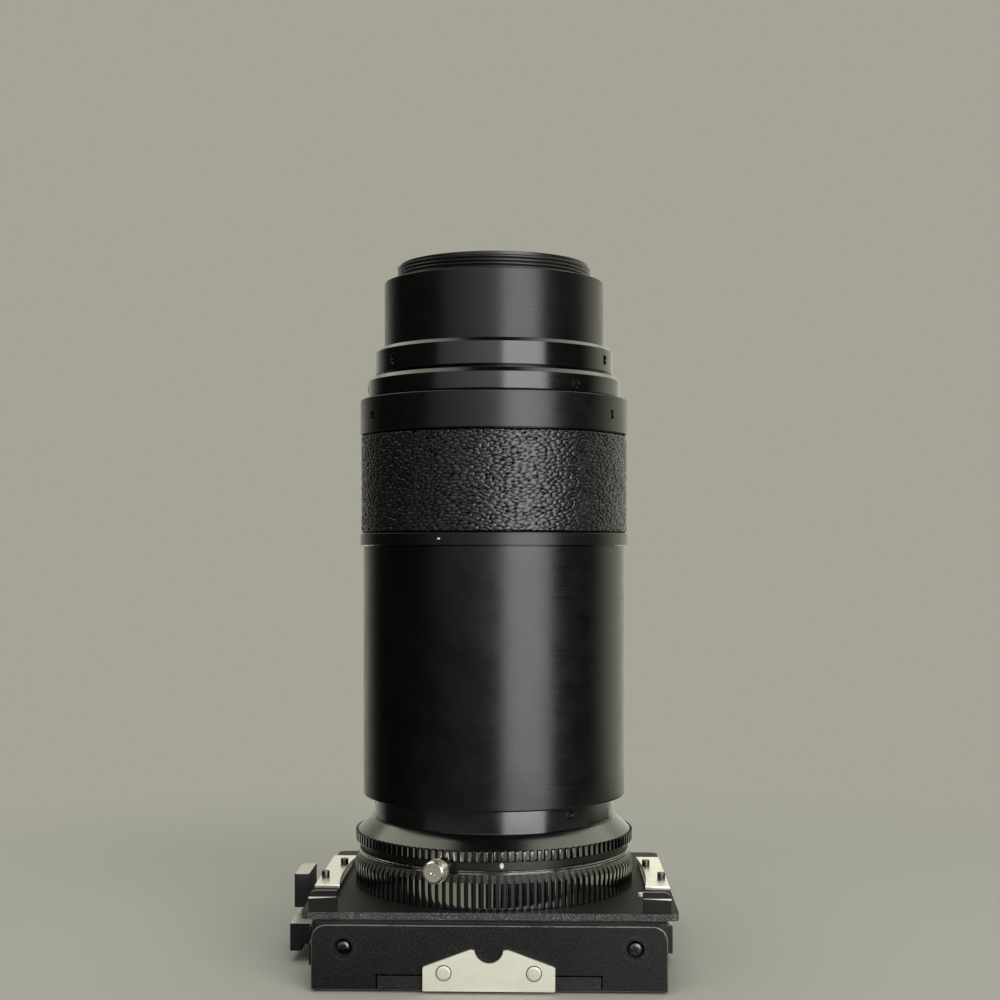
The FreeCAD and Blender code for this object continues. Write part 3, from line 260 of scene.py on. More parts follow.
@dataclass(frozen=True)
class CracklePaint(Finish):
    """Black wrinkle paint: fine raised grains whose tops are painted lighter, a painted glint."""

    low: float = 0.006
    high: float = 0.06
    grain_mm: float = 0.34
    depth_mm: float = 0.05
    roughness: float = 0.42
    gloss: float = 0.5

    def shade(self, graph: Graph) -> Node:
        """Warped cells make the grains, whose tops get a painted glint; a slow noise makes patches of more
        and less painted glint.

        Args:
            graph: the material's tree.

        Returns:
            The shader.
        """
        place = graph.place()
        wobble = graph.add("ShaderNodeTexNoise", {"Vector": place, "Scale": 1400.0, "Detail": 2.0})
        shift = graph.vector("SUBTRACT", wobble.outputs["Color"], (0.5, 0.5, 0.5))
        bent = graph.vector("SCALE", shift.outputs[0], 0.0005, "Scale")
        warped = graph.vector("ADD", place, bent.outputs[0]).outputs[0]
        density = 1.0 / (self.grain_mm * MM)
        top = graph.between(graph.cells(warped, density), 0.5, 0.05)
        edge = graph.cells(warped, density, "DISTANCE_TO_EDGE")
        fine = graph.noise(place, 7000.0)
        patch = graph.between(graph.noise(place, 120.0), 0.3, 0.75, 0.35, 1.0)
        # painted glint: grain tops take the lighter colour high, the creases between them the darker low as
        # painted shade
        painted_glint = graph.times(graph.times(top, graph.between(fine, 0.35, 0.75)), patch)
        colour = graph.blend(painted_glint, grey(self.low, 0.95), grey(self.high, 0.93))
        rough = graph.between(fine, 0.3, 0.7, self.roughness - 0.08, self.roughness + 0.1)
        height = graph.plus(graph.between(edge, 0.0, 0.35), graph.times(fine, 0.35))
        return graph.surface(colour, rough, height, self.depth_mm, {"Specular IOR Level": self.gloss})


@dataclass(frozen=True)
class WornEdge(Finish):
    """Rim of a painted part where the paint has thinned to the metal."""

    paint: float
    metal: float
    amount: float

    def shade(self, graph: Graph) -> Node:
        """Broken patches of metal show through the paint.

        Args:
            graph: the material's tree.

        Returns:
            The shader.
        """
        place = graph.place()
        patch = graph.noise(place, 420.0, 4.0, 0.65)
        chips = graph.noise(place, 2600.0, 3.0, 0.6)
        limit = 0.62 - 0.24 * self.amount
        mottle = graph.plus(graph.times(patch, 0.6), graph.times(chips, 0.4))
        bare = graph.between(mottle, limit, limit + 0.12)
        colour = graph.blend(bare, grey(self.paint), grey(self.metal, 0.93))
        return graph.surface(colour, graph.between(chips, 0.3, 0.7, 0.32, 0.5), chips, 0.02,
                             {"Metallic": graph.times(bare, 0.7)})


@dataclass(frozen=True)
class BrightMetal(Finish):
    """Plated or bare bright metal with fine brushed lines along one axis."""

    colour: Colour = (0.86, 0.84, 0.74)
    roughness: float = 0.3
    metallic: float = 1.0
    brushed_along: str = "X"
    line_depth: float = 0.002
    spots: float = 0.25
    spread: float = 0.06

    def shade(self, graph: Graph) -> Node:
        """Brushed lines, faint stains and a few tiny pits.

        Args:
            graph: the material's tree.

        Returns:
            The shader.
        """
        place = graph.place()
        scale = {"X": (60.0, 6000.0, 6000.0), "Y": (6000.0, 60.0, 6000.0), "Z": (6000.0, 6000.0, 60.0),
                 "round": (50.0, 50.0, 8000.0)}[self.brushed_along]
        lines = graph.stretched_noise(place, scale, 3.0)
        stain = graph.noise(place, 260.0, 4.0, 0.6)
        pits = graph.times(graph.between(graph.cells(place, 900.0), 0.10, 0.04),
                           graph.between(graph.noise(place, 500.0, 1.0), 0.58, 0.66))
        stained = graph.times(graph.between(stain, 0.45, 0.75), self.spots * 2.0, True)
        colour = graph.blend(stained, self.colour, scaled(self.colour, 0.78))
        colour = graph.blend(graph.times(pits, self.spots, True), colour, scaled(self.colour, 0.35))
        rough = graph.plus(
            graph.between(lines, 0.2, 0.8, self.roughness - self.spread, self.roughness + self.spread),
            graph.between(stain, 0.4, 0.8, 0.0, self.spread * 1.3))
        return graph.surface(colour, rough, graph.math("SUBTRACT", lines, pits), self.line_depth,
                             {"Metallic": self.metallic})


@dataclass(frozen=True)
class BlackLeatherette(Finish):
    """Pebbled black leatherette: fine pores over grains that are modelled."""

    tone: float = 0.007
    roughness: float = 0.27

    def shade(self, graph: Graph) -> Node:
        """Pores, creases darkened as painted shade, and tops greyer, partly a worn bloom and partly a
        painted sheen.

        Args:
            graph: the material's tree.

        Returns:
            The shader.
        """
        place = graph.place()
        pores = graph.stretched_noise(place, (4200.0, 4200.0, 6720.0), 3.0)
        worn = graph.noise(place, 210.0, 4.0)
        height = graph.add("ShaderNodeAttribute", attribute_name="grain").outputs["Fac"]
        # painted shade and sheen: creases get a near-black colour and no reflection, grain tops a greyer
        # colour
        top = graph.between(height, 0.3, 0.85)
        colour = graph.blend(graph.times(top, graph.between(worn, 0.3, 0.75, 0.6, 1.0)),
                             grey(self.tone * 0.15), grey(self.tone * 2.0))
        rough = graph.plus(graph.between(pores, 0.3, 0.7, self.roughness - 0.05, self.roughness + 0.09),
                           graph.between(worn, 0.4, 0.8, 0.0, 0.06))
        return graph.surface(colour, rough, pores, 0.02, {"Specular IOR Level": graph.times(top, 0.62)})


@dataclass(frozen=True)
class Enamel(Finish):
    """Filled-in paint of a mark, slightly uneven."""

    colour: Colour = (0.8, 0.78, 0.7)

    def shade(self, graph: Graph) -> Node:
        """Soft stains and a faint orange-peel surface.

        Args:
            graph: the material's tree.

        Returns:
            The shader.
        """
        stain = graph.noise(graph.place(), 2600.0)
        colour = graph.blend(graph.between(stain, 0.3, 0.75), self.colour, scaled(self.colour, 0.82))
        return graph.surface(colour, graph.between(stain, 0.3, 0.7, 0.35, 0.5), stain, 0.01)


@dataclass(frozen=True)
class LensGlass(Finish):
    """Coated optical glass with a trace of dust."""

    tint: Colour = (0.96, 0.985, 0.98)
    coat_tint: Colour = (0.75, 0.6, 1.0)
    ior: float = 1.52

    def shade(self, graph: Graph) -> Node:
        """Clear body; dust gives roughness in specks only.

        Args:
            graph: the material's tree.

        Returns:
            The shader.
        """
        place = graph.place()
        dust = graph.between(graph.noise(place, 2200.0, 2.0), 0.66, 0.74, 0.0, 0.12)
        veil = graph.between(graph.noise(place, 90.0), 0.3, 0.8, 0.0, 0.015)
        return graph.add("ShaderNodeBsdfPrincipled", {
            "Base Color": self.tint, "Roughness": graph.plus(dust, veil), "IOR": self.ior,
            "Transmission Weight": 1.0, "Specular Tint": self.coat_tint})


@dataclass(frozen=True)
class OpalPlastic(Finish):
    """Milky diffusing acrylic."""

    colour: Colour = (0.86, 0.86, 0.83)

    def shade(self, graph: Graph) -> Node:
        """Milky body with a fine matt tooth and faint clouding.

        Args:
            graph: the material's tree.

        Returns:
            The shader.
        """
        place = graph.place()
        cloud = graph.between(graph.noise(place, 130.0, 4.0), 0.3, 0.7)
        tooth = graph.noise(place, 6500.0, 2.0)
        colour = graph.blend(cloud, self.colour, scaled(self.colour, 0.93))
        return graph.surface(colour, graph.between(tooth, 0.3, 0.7, 0.5, 0.62), tooth, 0.004, {
            "Subsurface Weight": 0.3, "Subsurface Radius": (1.0, 1.0, 0.95), "Subsurface Scale": 0.0012})


@dataclass(frozen=True)
class StudioPaper(Finish):
    """Pale paper that thins out towards the rim of the floor."""

    colour: Colour
    radius: float

    def shade(self, graph: Graph) -> Node:
        """Faint tooth; clear at the rim.

        Args:
            graph: the material's tree.

        Returns:
            The shader.
        """
        place = graph.place()
        tint = graph.blend(graph.noise(place, 900.0), scaled(self.colour, 0.97), self.colour)
        away = graph.add("ShaderNodeVectorMath", {0: place}, operation="LENGTH").outputs["Value"]
        thin = graph.between(away, self.radius * 0.38, self.radius * 0.98)
        paper = graph.add("ShaderNodeBsdfDiffuse", {"Color": tint})
        clear = graph.add("ShaderNodeBsdfTransparent")
        return graph.add("ShaderNodeMixShader", {0: thin, 1: paper.outputs[0], 2: clear.outputs[0]})


class Finishes:
    """Every finish of the duplicator, by its use."""

    tube = TurnedBlack("tube_black", tone=0.003, line_depth=0.0008, gloss=0.36)
    collar = TurnedBlack("collar_black", tone=0.0035, roughness=0.17, line_depth=0.001, gloss=0.55)
    zoom = TurnedBlack("zoom_ring_black", tone=0.0035, gloss=0.42)
    sleeve = TurnedBlack("sleeve_black", tone=0.0022, roughness=0.28, gloss=0.46)
    foot = TurnedBlack("foot_black", tone=0.004, roughness=0.17, line_depth=0.0006, gloss=1.0)
    ribs = TurnedBlack("rib_groove_black", tone=0.003, roughness=0.4, line_mm=0.3, line_depth=0.004,
                       gloss=0.15)
    head = TurnedBlack("head_black", tone=0.006, roughness=0.34)
    thread = TurnedBlack("thread_black", tone=0.006, roughness=0.33, line_mm=0.2)
    inner = TurnedBlack("inner_matt_black", tone=0.006, roughness=0.6, line_mm=0.35, line_depth=0.02)
    cam = TurnedBlack("cam_tube_black", tone=0.006, roughness=0.38)
    cell = TurnedBlack("lens_cell_black", tone=0.008, roughness=0.45, line_mm=0.25, line_depth=0.01)
    baffle = TurnedBlack("baffle_matt_black", tone=0.005, roughness=0.75, line_mm=0.3, line_depth=0.01)
    block = TurnedBlack("shoe_black", tone=0.004, line_mm=0.2)
    flag = TurnedBlack("studio_flag_black", tone=0.002, roughness=0.9, gloss=0.0)

    # painted highlight: the ribs' upward chamfer faces get a light grey speckle where light from the sides
    # falls
    chamfer = CracklePaint("rib_chamfer_painted_highlight", low=0.02, high=0.6, grain_mm=0.2, depth_mm=0.03,
                           roughness=0.3)
    housing = CracklePaint("housing_crackle", low=0.004, high=0.07)
    cover = CracklePaint("cover_crackle", low=0.002, high=0.03, grain_mm=0.36, depth_mm=0.022,
                         roughness=0.4, gloss=0.38)
    # painted highlight: the tray's black crackle paint on its front and sides, with grains painted up to
    # white
    tray = CracklePaint("tray_crackle_painted_highlight", low=0.03, high=1.0, depth_mm=0.06, roughness=0.3, gloss=0.7)
    # painted shade and reflection: the tray's black paint on its upward faces, darkened to near black
    tray_top_shade = CracklePaint("tray_top_painted_shade", low=0.0015, high=0.006, grain_mm=0.3, depth_mm=0.02,
                            roughness=0.6, gloss=0.2)
    # painted highlight: the same black paint on the tray's rounded edges, painted light
    tray_edge_highlight = CracklePaint("tray_edge_painted_highlight", low=0.3, high=1.0, depth_mm=0.06, roughness=0.26,
                             gloss=0.8)
    gate = CracklePaint("gate_crackle", low=0.003, high=0.02, grain_mm=0.3, depth_mm=0.035)
    drawer = CracklePaint("drawer_crackle", low=0.004, high=0.05, grain_mm=0.32)

    # worn edge and painted highlight: the covers' upper rim is painted light, partly thinned paint and
    # partly where the edge catches light
    cover_edge_wear_and_highlight = WornEdge("cover_edge_worn_and_highlight", paint=0.05, metal=0.2, amount=0.95)
    spot_ring = WornEdge("spot_ring_worn", paint=0.012, metal=0.07, amount=0.7)
    plain_edge = WornEdge("painted_edge_worn", paint=0.008, metal=0.3, amount=0.15)

    crest = BrightMetal("rib_crest_grey", colour=(0.42, 0.416, 0.38), roughness=0.07, brushed_along="round",
                        line_depth=0.0003, spots=0.5, spread=0.02)
    # painted reflection: light metal on the gate jaws' upward faces outside the housing
    gate_top_reflection = BrightMetal("gate_top_painted_reflection", colour=(0.6, 0.585, 0.49), roughness=0.4, metallic=0.4,
                            spots=0.9)
    finger = BrightMetal("finger_plate_nickel", colour=(0.88, 0.86, 0.72), roughness=0.46, metallic=0.35)
    shoe = BrightMetal("shoe_plate_nickel", colour=(0.86, 0.85, 0.76), brushed_along="Y")
    index = BrightMetal("index_ring_bright", colour=(0.5, 0.47, 0.42), roughness=0.16,
                        brushed_along="round")
    knob = BrightMetal("lock_knob_bright", colour=(0.9, 0.88, 0.78), roughness=0.24, brushed_along="Z")
    # bright metal of the stop pin, also used as a painted highlight on the tray's ledges
    pin_and_ledge_highlight = BrightMetal("pin_bright_and_ledge_highlight", colour=(0.88, 0.865, 0.76), metallic=0.4, brushed_along="Z")
    rivet = BrightMetal("rivet_bright", colour=(0.85, 0.83, 0.7), roughness=0.42, metallic=0.4)
    screw = BrightMetal("screw_blackened", colour=(0.085, 0.085, 0.083), spots=0.4)
    grub = BrightMetal("grub_screw_steel", colour=(0.12, 0.12, 0.115), roughness=0.25, brushed_along="Z",
                       spots=0.4)
    spring = BrightMetal("spring_steel", colour=(0.5, 0.49, 0.47), roughness=0.25)
    brass = BrightMetal("guide_brass", colour=(0.72, 0.5, 0.2), roughness=0.24, brushed_along="Z")
    steel = BrightMetal("rail_steel", colour=(0.4, 0.4, 0.39), roughness=0.32)

    leather = BlackLeatherette("grip_leatherette")
    mark = Enamel("mark_white")
    opal = OpalPlastic("opal_acrylic")
    crown = LensGlass("crown_glass_coated")
    flint = LensGlass("flint_glass_coated", tint=(0.97, 0.975, 0.95), coat_tint=(1.0, 0.8, 0.5), ior=1.62)


# ---- meshes -------------------------------------------------------------------
def at_bearing(radius: float, bearing: float, z: float) -> Corner:
    """Point at a radius and height in a bearing from the front."""
    angle = math.radians(bearing)
    return radius * math.sin(angle), -radius * math.cos(angle), z


def turned(degrees: float, axis: str = "Z") -> Matrix:
    """Turn about an axis."""
    return Matrix.Rotation(math.radians(degrees), 4, axis)


def facing(bearing: float, radius: float, z: float) -> Matrix:
    """Places something made along +Z so that it points outwards in a bearing."""
    return Matrix.Translation(at_bearing(radius, bearing, z)) @ turned(bearing) @ turned(90, "X")


def linked(name: str, data: bpy.types.ID) -> Thing:
    """Makes an object of a mesh, lamp or camera and adds it to the scene.

    Args:
        name: the object's name.
        data: what it shows.

    Returns:
        The new object.
    """
    thing = bpy.data.objects.new(name, data)
    bpy.context.scene.collection.objects.link(thing)
    return thing


@contextmanager
def editing(mesh: bpy.types.Mesh) -> Iterator[bmesh.types.BMesh]:
    """Opens a mesh for editing and stores it again.

    Args:
        mesh: the mesh.

    Yields:
        Its editable form.
    """
    bm = bmesh.new()
    bm.from_mesh(mesh)
    yield bm
    bm.to_mesh(mesh)
    bm.free()


def bevelled(bm: bmesh.types.BMesh, edges: Sequence[bmesh.types.BMEdge], width: float,
             steps: int) -> list[bmesh.types.BMFace]:
    """Bevels edges by a width in millimetres and gives the new faces."""
    return bmesh.ops.bevel(bm, geom=edges, offset=width * MM, segments=steps, profile=0.5, affect="EDGES",
                           clamp_overlap=True)["faces"]


def smoothed(thing: Thing, sharp: float = CRISP) -> Thing:
    """Shades a mesh smooth except at its sharp edges.

    Args:
        thing: the piece, changed in place.
        sharp: edges bent by more than this many degrees stay crisp.

    Returns:
        The same piece.
    """
    mesh = thing.data
    mesh.polygons.foreach_set("use_smooth", [True] * len(mesh.polygons))
    mesh.set_sharp_from_angle(angle=math.radians(sharp))
    mesh.update()
    return thing


def settled(thing: Thing) -> Thing:
    """Turns the evaluated modifiers of an object into its plain mesh.

    Args:
        thing: the object.

    Returns:
        The same object, without modifiers.
    """
    bpy.context.view_layer.update()
    graph = bpy.context.evaluated_depsgraph_get()
    mesh = bpy.data.meshes.new_from_object(thing.evaluated_get(graph), preserve_all_data_layers=True,
                                           depsgraph=graph)
    thing.modifiers.clear()
    old = thing.data
    thing.data = mesh
    mesh.name = thing.name
    if old.users == 0:
        bpy.data.meshes.remove(old)
    return thing


def weighted(piece: Thing) -> Thing:
    """Gives a piece normals that follow its larger faces, so that flats stay flat."""
    piece.modifiers.new("flat_faces", "WEIGHTED_NORMAL").keep_sharp = True
    return settled(piece)


def stored(name: str, verts: Sequence[Sequence[float]], faces: Sequence[Sequence[int]], finish: Finish,
           sharp: float = CRISP) -> Thing:
    """Stores a mesh given in millimetres.

    Args:
        name: the piece's name.
        verts: corner points.
        faces: corner numbers of each face.
        finish: what it is made of.
        sharp: edges bent by more than this many degrees stay crisp.

    Returns:
        The new object, linked to the scene.
    """
    mesh = bpy.data.meshes.new(name)
    mesh.from_pydata([tuple(c * MM for c in v) for v in verts], [], [tuple(face) for face in faces])
    with editing(mesh) as bm:
        bmesh.ops.remove_doubles(bm, verts=bm.verts, dist=1e-7)
        bmesh.ops.recalc_face_normals(bm, faces=bm.faces)
    thing = smoothed(linked(name, mesh), sharp)
    mesh.materials.append(finish.make())
    return thing


def joined(name: str, *things: Thing) -> Thing:
    """Makes one piece of several and removes them.

    Args:
        name: name of the result.
        things: pieces with their places in their meshes.

    Returns:
        One object that keeps each piece's materials.
    """
    mesh = bpy.data.meshes.new(name)
    bm = bmesh.new()
    materials: list[bpy.types.Material] = []
    for thing in things:
        start = len(bm.faces)
        bm.from_mesh(thing.data)
        bm.faces.ensure_lookup_table()
        own = list(thing.data.materials)
        materials += [material for material in own if material not in materials]
        for face in bm.faces[start:]:
            face.material_index = materials.index(own[face.material_index])
        bpy.data.objects.remove(thing)
    bm.to_mesh(mesh)
    bm.free()
    for material in materials:
        mesh.materials.append(material)
    return linked(name, mesh)


def rounded_corners(corners: Sequence[Corner], steps: int = 3) -> Outline:
    """Rounds the corners of a closed outline.

    Args:
        corners: points with the radius of each corner.
        steps: pieces of each arc.

    Returns:
        The outline's points; one just past each arc's ends keeps the shading flat.
    """
    points: Outline = []
    for i, (x, y, radius) in enumerate(corners):
        here = Vector((x, y))
        if radius <= 0:
            points.append((x, y))
            continue
        back = Vector(corners[i - 1][:2]) - here
        ahead = Vector(corners[(i + 1) % len(corners)][:2]) - here
        flatness = max(math.tan(back.angle(ahead) / 2), 0.05)
        reach = min(radius / flatness, 0.45 * back.length, 0.45 * ahead.length)
        support = min(0.03, reach * 0.1)
        back.normalize()
        ahead.normalize()
        start, end = here + back * reach, here + ahead * reach
        arc = [start * (1 - t) ** 2 + here * (2 * t * (1 - t)) + end * t ** 2
               for t in (k / steps for k in range(steps + 1))]
        points += [tuple(p) for p in (start + back * support, *arc, end + ahead * support)]
    return points


def lathe(name: str, corners: Sequence[Corner], finish: Finish, segments: int = ROUND,
          steps: int = 3) -> Thing:
    """Turns a closed outline of (radius, height, rounding) about the optical axis.

    Args:
        name: the piece's name.
        corners: the outline.
        finish: what it is made of.
        segments: pieces of the full turn.
        steps: pieces of each rounded corner.

    Returns:
        The turned piece.
    """
    outline = rounded_corners(corners, steps)
    rows = len(outline)
    angles = [FULL_TURN * k / segments for k in range(segments)]
    verts = [(r * math.sin(a), -r * math.cos(a), z) for a in angles for r, z in outline]
    faces = []
    for k in range(segments):
        here, there = k * rows, (k + 1) % segments * rows
        for j in range(rows):
            n = (j + 1) % rows
            quad = [here + j, there + j, there + n, here + n]
            for on_axis in (m for m in (j, n) if outline[m][0] < 1e-9):
                quad.remove(there + on_axis)
            if len(quad) > 2:
                faces.append(quad)
    return stored(name, verts, faces, finish)


def loft(rows: int, around: int) -> list[Sequence[int]]:
    """Numbers the faces of a closed body made of rows of points.

    Args:
        rows: how many rows there are.
        around: points of each row, which closes on itself.

    Returns:
        Both end faces, then the bands between the rows.
    """
    return [range(around), range((rows - 1) * around, rows * around)] + [
        (r + i, r + (i + 1) % around, r + around + (i + 1) % around, r + around + i)
        for r in range(0, (rows - 1) * around, around) for i in range(around)]


def prism(name: str, outline: Outline, low: float, high: float, finish: Finish, bevel: float = 0.0,
          steps: int = 3) -> Thing:
    """Raises a flat outline between two heights, with bevelled rims.

    Args:
        name: the piece's name.
        outline: points of the outline.
        low: height of its lower face.
        high: height of its upper face.
        finish: what it is made of.
        bevel: width of the bevel at both rims.
        steps: pieces of the bevel.

    Returns:
        The raised piece.
    """
    verts = [(x, y, z) for z in (low, high) for x, y in outline]
    piece = stored(name, verts, loft(2, len(outline)), finish)
    if bevel > 0:
        with editing(piece.data) as bm:
            rims = [e for e in bm.edges if abs(e.verts[0].co.z - e.verts[1].co.z) < 1e-7]
            bevelled(bm, rims, bevel, steps)
        weighted(smoothed(piece))
    return piece


def carved(piece: Thing, cutters: Sequence[Thing]) -> Thing:
    """Cuts pieces out of a piece and removes them.

    Args:
        piece: the piece that is cut.
        cutters: closed shapes that are taken away.

    Returns:
        The same piece, cut.
    """
    for cutter in cutters:
        cut = piece.modifiers.new("cut", "BOOLEAN")
        cut.operation, cut.solver, cut.object = "DIFFERENCE", "EXACT", cutter
    settled(piece)
    for cutter in cutters:
        bpy.data.objects.remove(cutter)
    return smoothed(piece)


def repainted(piece: Thing, finish: Finish, chosen: Callable[[Vector, Vector], bool]) -> Thing:
    """Gives chosen faces of a piece another finish.

    Args:
        piece: the piece, changed in place.
        finish: the other finish.
        chosen: says of a face's middle, in millimetres, and its normal whether it is changed.

    Returns:
        The same piece.
    """
    piece.data.materials.append(finish.make())
    for face in piece.data.polygons:
        if chosen(face.center / MM, face.normal):
            face.material_index = len(piece.data.materials) - 1
    return piece


def placed(piece: Thing, matrix: Matrix) -> Thing:
    """Moves a piece's mesh.

    Args:
        piece: the piece, changed in place.
        matrix: the move, in millimetres.

    Returns:
        The same piece.
    """
    shift = matrix.copy()
    shift.translation = matrix.translation * MM
    piece.data.transform(shift)
    piece.data.update()
    return piece


def softened(node: str, name: str, finish: Finish, width: float, steps: int, shortest: float,
             edge: Finish | None = None, top: Finish | None = None) -> Thing:
    """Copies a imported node, merges it and rounds its longer edges.

    Args:
        node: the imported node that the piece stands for.
        name: the piece's name.
        finish: what it is made of.
        width: bevel width in millimetres.
        steps: pieces of the bevel.
        shortest: edges shorter than this many millimetres stay as they are.
        edge: finish of the rounded edges, where it differs.
        top: finish of the faces that look up, where it differs.

    Returns:
        The rounded copy.
    """
    mesh = bpy.data.objects[node].data.copy()
    mesh.name = name
    mesh.materials.clear()
    for coat in (finish, edge or finish, top or finish):
        mesh.materials.append(coat.make())
    with editing(mesh) as bm:
        for layer in list(bm.loops.layers.uv):
            bm.loops.layers.uv.remove(layer)
        bmesh.ops.remove_doubles(bm, verts=bm.verts, dist=2e-6)
        bmesh.ops.dissolve_limit(bm, angle_limit=math.radians(0.4), verts=bm.verts, edges=bm.edges)
        for face in bm.faces:
            face.material_index = 2 if top and face.normal.z > 0.9 else 0
        crisp = [e for e in bm.edges if len(e.link_faces) == 2 and e.calc_length() > shortest * MM
                 and e.calc_face_angle(0.0) > math.radians(35)]
        for face in bevelled(bm, crisp, width, steps):
            face.material_index = 1 if edge else face.material_index
        bmesh.ops.triangulate(bm, faces=[f for f in bm.faces if len(f.verts) > 4])
    if "custom_normal" in mesh.attributes:
        mesh.attributes.remove(mesh.attributes["custom_normal"])
    return weighted(smoothed(linked(name, mesh)))


# ---- geometry-node arrays -------------------------------------------------------
class GeometryTree(Graph):
    """A geometry-node tree under construction, with named inputs."""

    def __init__(self, name: str, inputs: dict[str, str]) -> None:
        """Starts a tree.

        Args:
            name: the tree's name.
            inputs: kind of socket of each named input.
        """
        super().__init__(bpy.data.node_groups.new(name, "GeometryNodeTree"))
        socket = self.tree.interface.new_socket
        kinds = {"Geometry": "Geometry", **inputs, "Material": "Material", "Crest Material": "Material"}
        self.ids = {label: socket(label, in_out="INPUT", socket_type="NodeSocket" + kind).identifier
                    for label, kind in kinds.items()}
        socket("Geometry", in_out="OUTPUT", socket_type="NodeSocketGeometry")
        self.given = self.tree.nodes.new("NodeGroupInput").outputs

    def finish(self, shape: Socket) -> None:
        """Ends the tree with real geometry and its materials.

        Args:
            shape: the geometry, which may hold instances.
        """
        real = self.add("GeometryNodeRealizeInstances", {"Geometry": shape})
        dressed_all = self.add("GeometryNodeSetMaterial", {
            "Geometry": real.outputs[0], "Material": self.given["Material"]})
        crest = self.add("GeometryNodeInputNamedAttribute", {"Name": "crest"}, data_type="BOOLEAN")
        topped = self.add("GeometryNodeSetMaterial", {
            "Geometry": dressed_all.outputs[0], "Selection": crest.outputs["Attribute"],
            "Material": self.given["Crest Material"]})
        self.add("NodeGroupOutput", {0: topped.outputs[0]})

    def run(self, piece: Thing, values: dict[str, object], finish: Finish,
            crest: Finish | None = None) -> Thing:
        """Applies the tree to a piece.

        Args:
            piece: the piece that goes in as Geometry.
            values: value of each named input.
            finish: material that the result gets.
            crest: material of the faces marked as crest, where it differs.

        Returns:
            The same object with its new plain mesh.
        """
        step = piece.modifiers.new("repeat", "NODES")
        step.node_group = self.tree
        coats = {"Material": finish.make(), "Crest Material": (crest or finish).make()}
        for label, value in {**values, **coats}.items():
            step[self.ids[label]] = value
        piece.update_tag()
        return settled(piece)


class RingArray(GeometryTree):
    """Repeats a small piece round the optical axis."""

    def __init__(self) -> None:
        """Builds the tree: points on the axis, each turned one step further."""
        super().__init__("ring_array", {"Count": "Int", "Start Bearing": "Float"})
        count = self.given["Count"]
        points = self.add("GeometryNodePoints", {"Count": count})
        index = self.add("GeometryNodeInputIndex").outputs[0]
        bearing = self.times(index, self.math("DIVIDE", FULL_TURN, count))
        angle = self.plus(bearing, self.math("RADIANS", self.given["Start Bearing"]))
        spin = self.add("ShaderNodeCombineXYZ", {"Z": angle})
        rotation = self.add("FunctionNodeEulerToRotation", {0: spin.outputs[0]})
        copies = self.add("GeometryNodeInstanceOnPoints", {
            "Points": points.outputs[0], "Instance": self.given["Geometry"],
            "Rotation": rotation.outputs[0]})
        self.finish(copies.outputs[0])

    def repeat(self, piece: Thing, count: int, finish: Finish, first: float = 0.0,
               crest: Finish | None = None) -> Thing:
        """Repeats a piece a number of times, from a first bearing on."""
        return self.run(piece, {"Count": count, "Start Bearing": first}, finish, crest)


class RowArray(GeometryTree):
    """Repeats a small piece along a straight row."""

    def __init__(self) -> None:
        """Builds the tree: a line of points with the piece on each."""
        super().__init__("row_array", {"Count": "Int", "First": "Vector", "Step": "Vector"})
        line = self.add("GeometryNodeMeshLine", {
            "Count": self.given["Count"], "Start Location": self.given["First"],
            "Offset": self.given["Step"]}, mode="OFFSET")
        copies = self.add("GeometryNodeInstanceOnPoints", {
            "Points": line.outputs[0], "Instance": self.given["Geometry"]})
        self.finish(copies.outputs[0])


class HelixRidge(GeometryTree):
    """Winds a four-sided ridge round the optical axis, for a screw thread."""

    def __init__(self) -> None:
        """Builds the tree: a spiral swept with a trapezoid."""
        super().__init__("helix_ridge", dict.fromkeys(
            ("Turns", "Radius", "Height", "Root Width", "Crest Width", "Depth", "Bottom"), "Float"))
        given = self.given
        spiral = self.add("GeometryNodeCurveSpiral", {
            "Resolution": 160, "Rotations": given["Turns"], "Start Radius": given["Radius"],
            "End Radius": given["Radius"], "Height": given["Height"], "Reverse": False})
        upright = self.add("GeometryNodeSetCurveNormal", {"Curve": spiral.outputs[0]}, mode="Z_UP")
        section = self.add("GeometryNodeCurvePrimitiveQuadrilateral", {
            "Bottom Width": given["Root Width"], "Top Width": given["Crest Width"],
            "Height": given["Depth"], "Offset": 0.0}, mode="TRAPEZOID")
        swept = self.add("GeometryNodeCurveToMesh", {
            "Curve": upright.outputs[0], "Profile Curve": section.outputs[0], "Fill Caps": True})
        lift = self.add("ShaderNodeCombineXYZ", {"Z": given["Bottom"]})
        raised = self.add("GeometryNodeSetPosition", {
            "Geometry": swept.outputs[0], "Offset": lift.outputs[0]})
        self.finish(raised.outputs[0])


class Arrays:
    """The trees that the sub-assemblies share, built once."""

    def __init__(self) -> None:
        """Builds every tree."""
        self.ring, self.row, self.helix = RingArray(), RowArray(), HelixRidge()


# ---- how a piece joins the frame --------------------------------------------------
def dressed(piece: Thing, body: str, node: str) -> None:
    """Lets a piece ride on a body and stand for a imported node.

    Args:
        piece: the finished piece.
        body: the body that it moves with.
        node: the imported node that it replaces.
    """
    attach(piece, body)
    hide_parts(node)
    LOG.info("piece %s: %d faces, on %s, for %s", piece.name, len(piece.data.polygons), body, node)


@dataclass
class Section:
    """One sub-assembly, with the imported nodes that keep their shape."""

    nodes: dict[str, Thing]
    arrays: Arrays
    kept: ClassVar[dict[Finish, tuple[str, ...]]] = {}

    def build(self) -> None:
        """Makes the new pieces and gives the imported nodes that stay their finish."""
        self.pieces()
        for finish, name in ((finish, name) for finish, names in self.kept.items() for name in names):
            for slot in self.nodes[name].material_slots:
                slot.material = finish.make()
            LOG.info("node %s keeps its shape, in %s", name, finish.name)

    def pieces(self) -> None:
        """Makes the new pieces; a section without any leaves this out."""


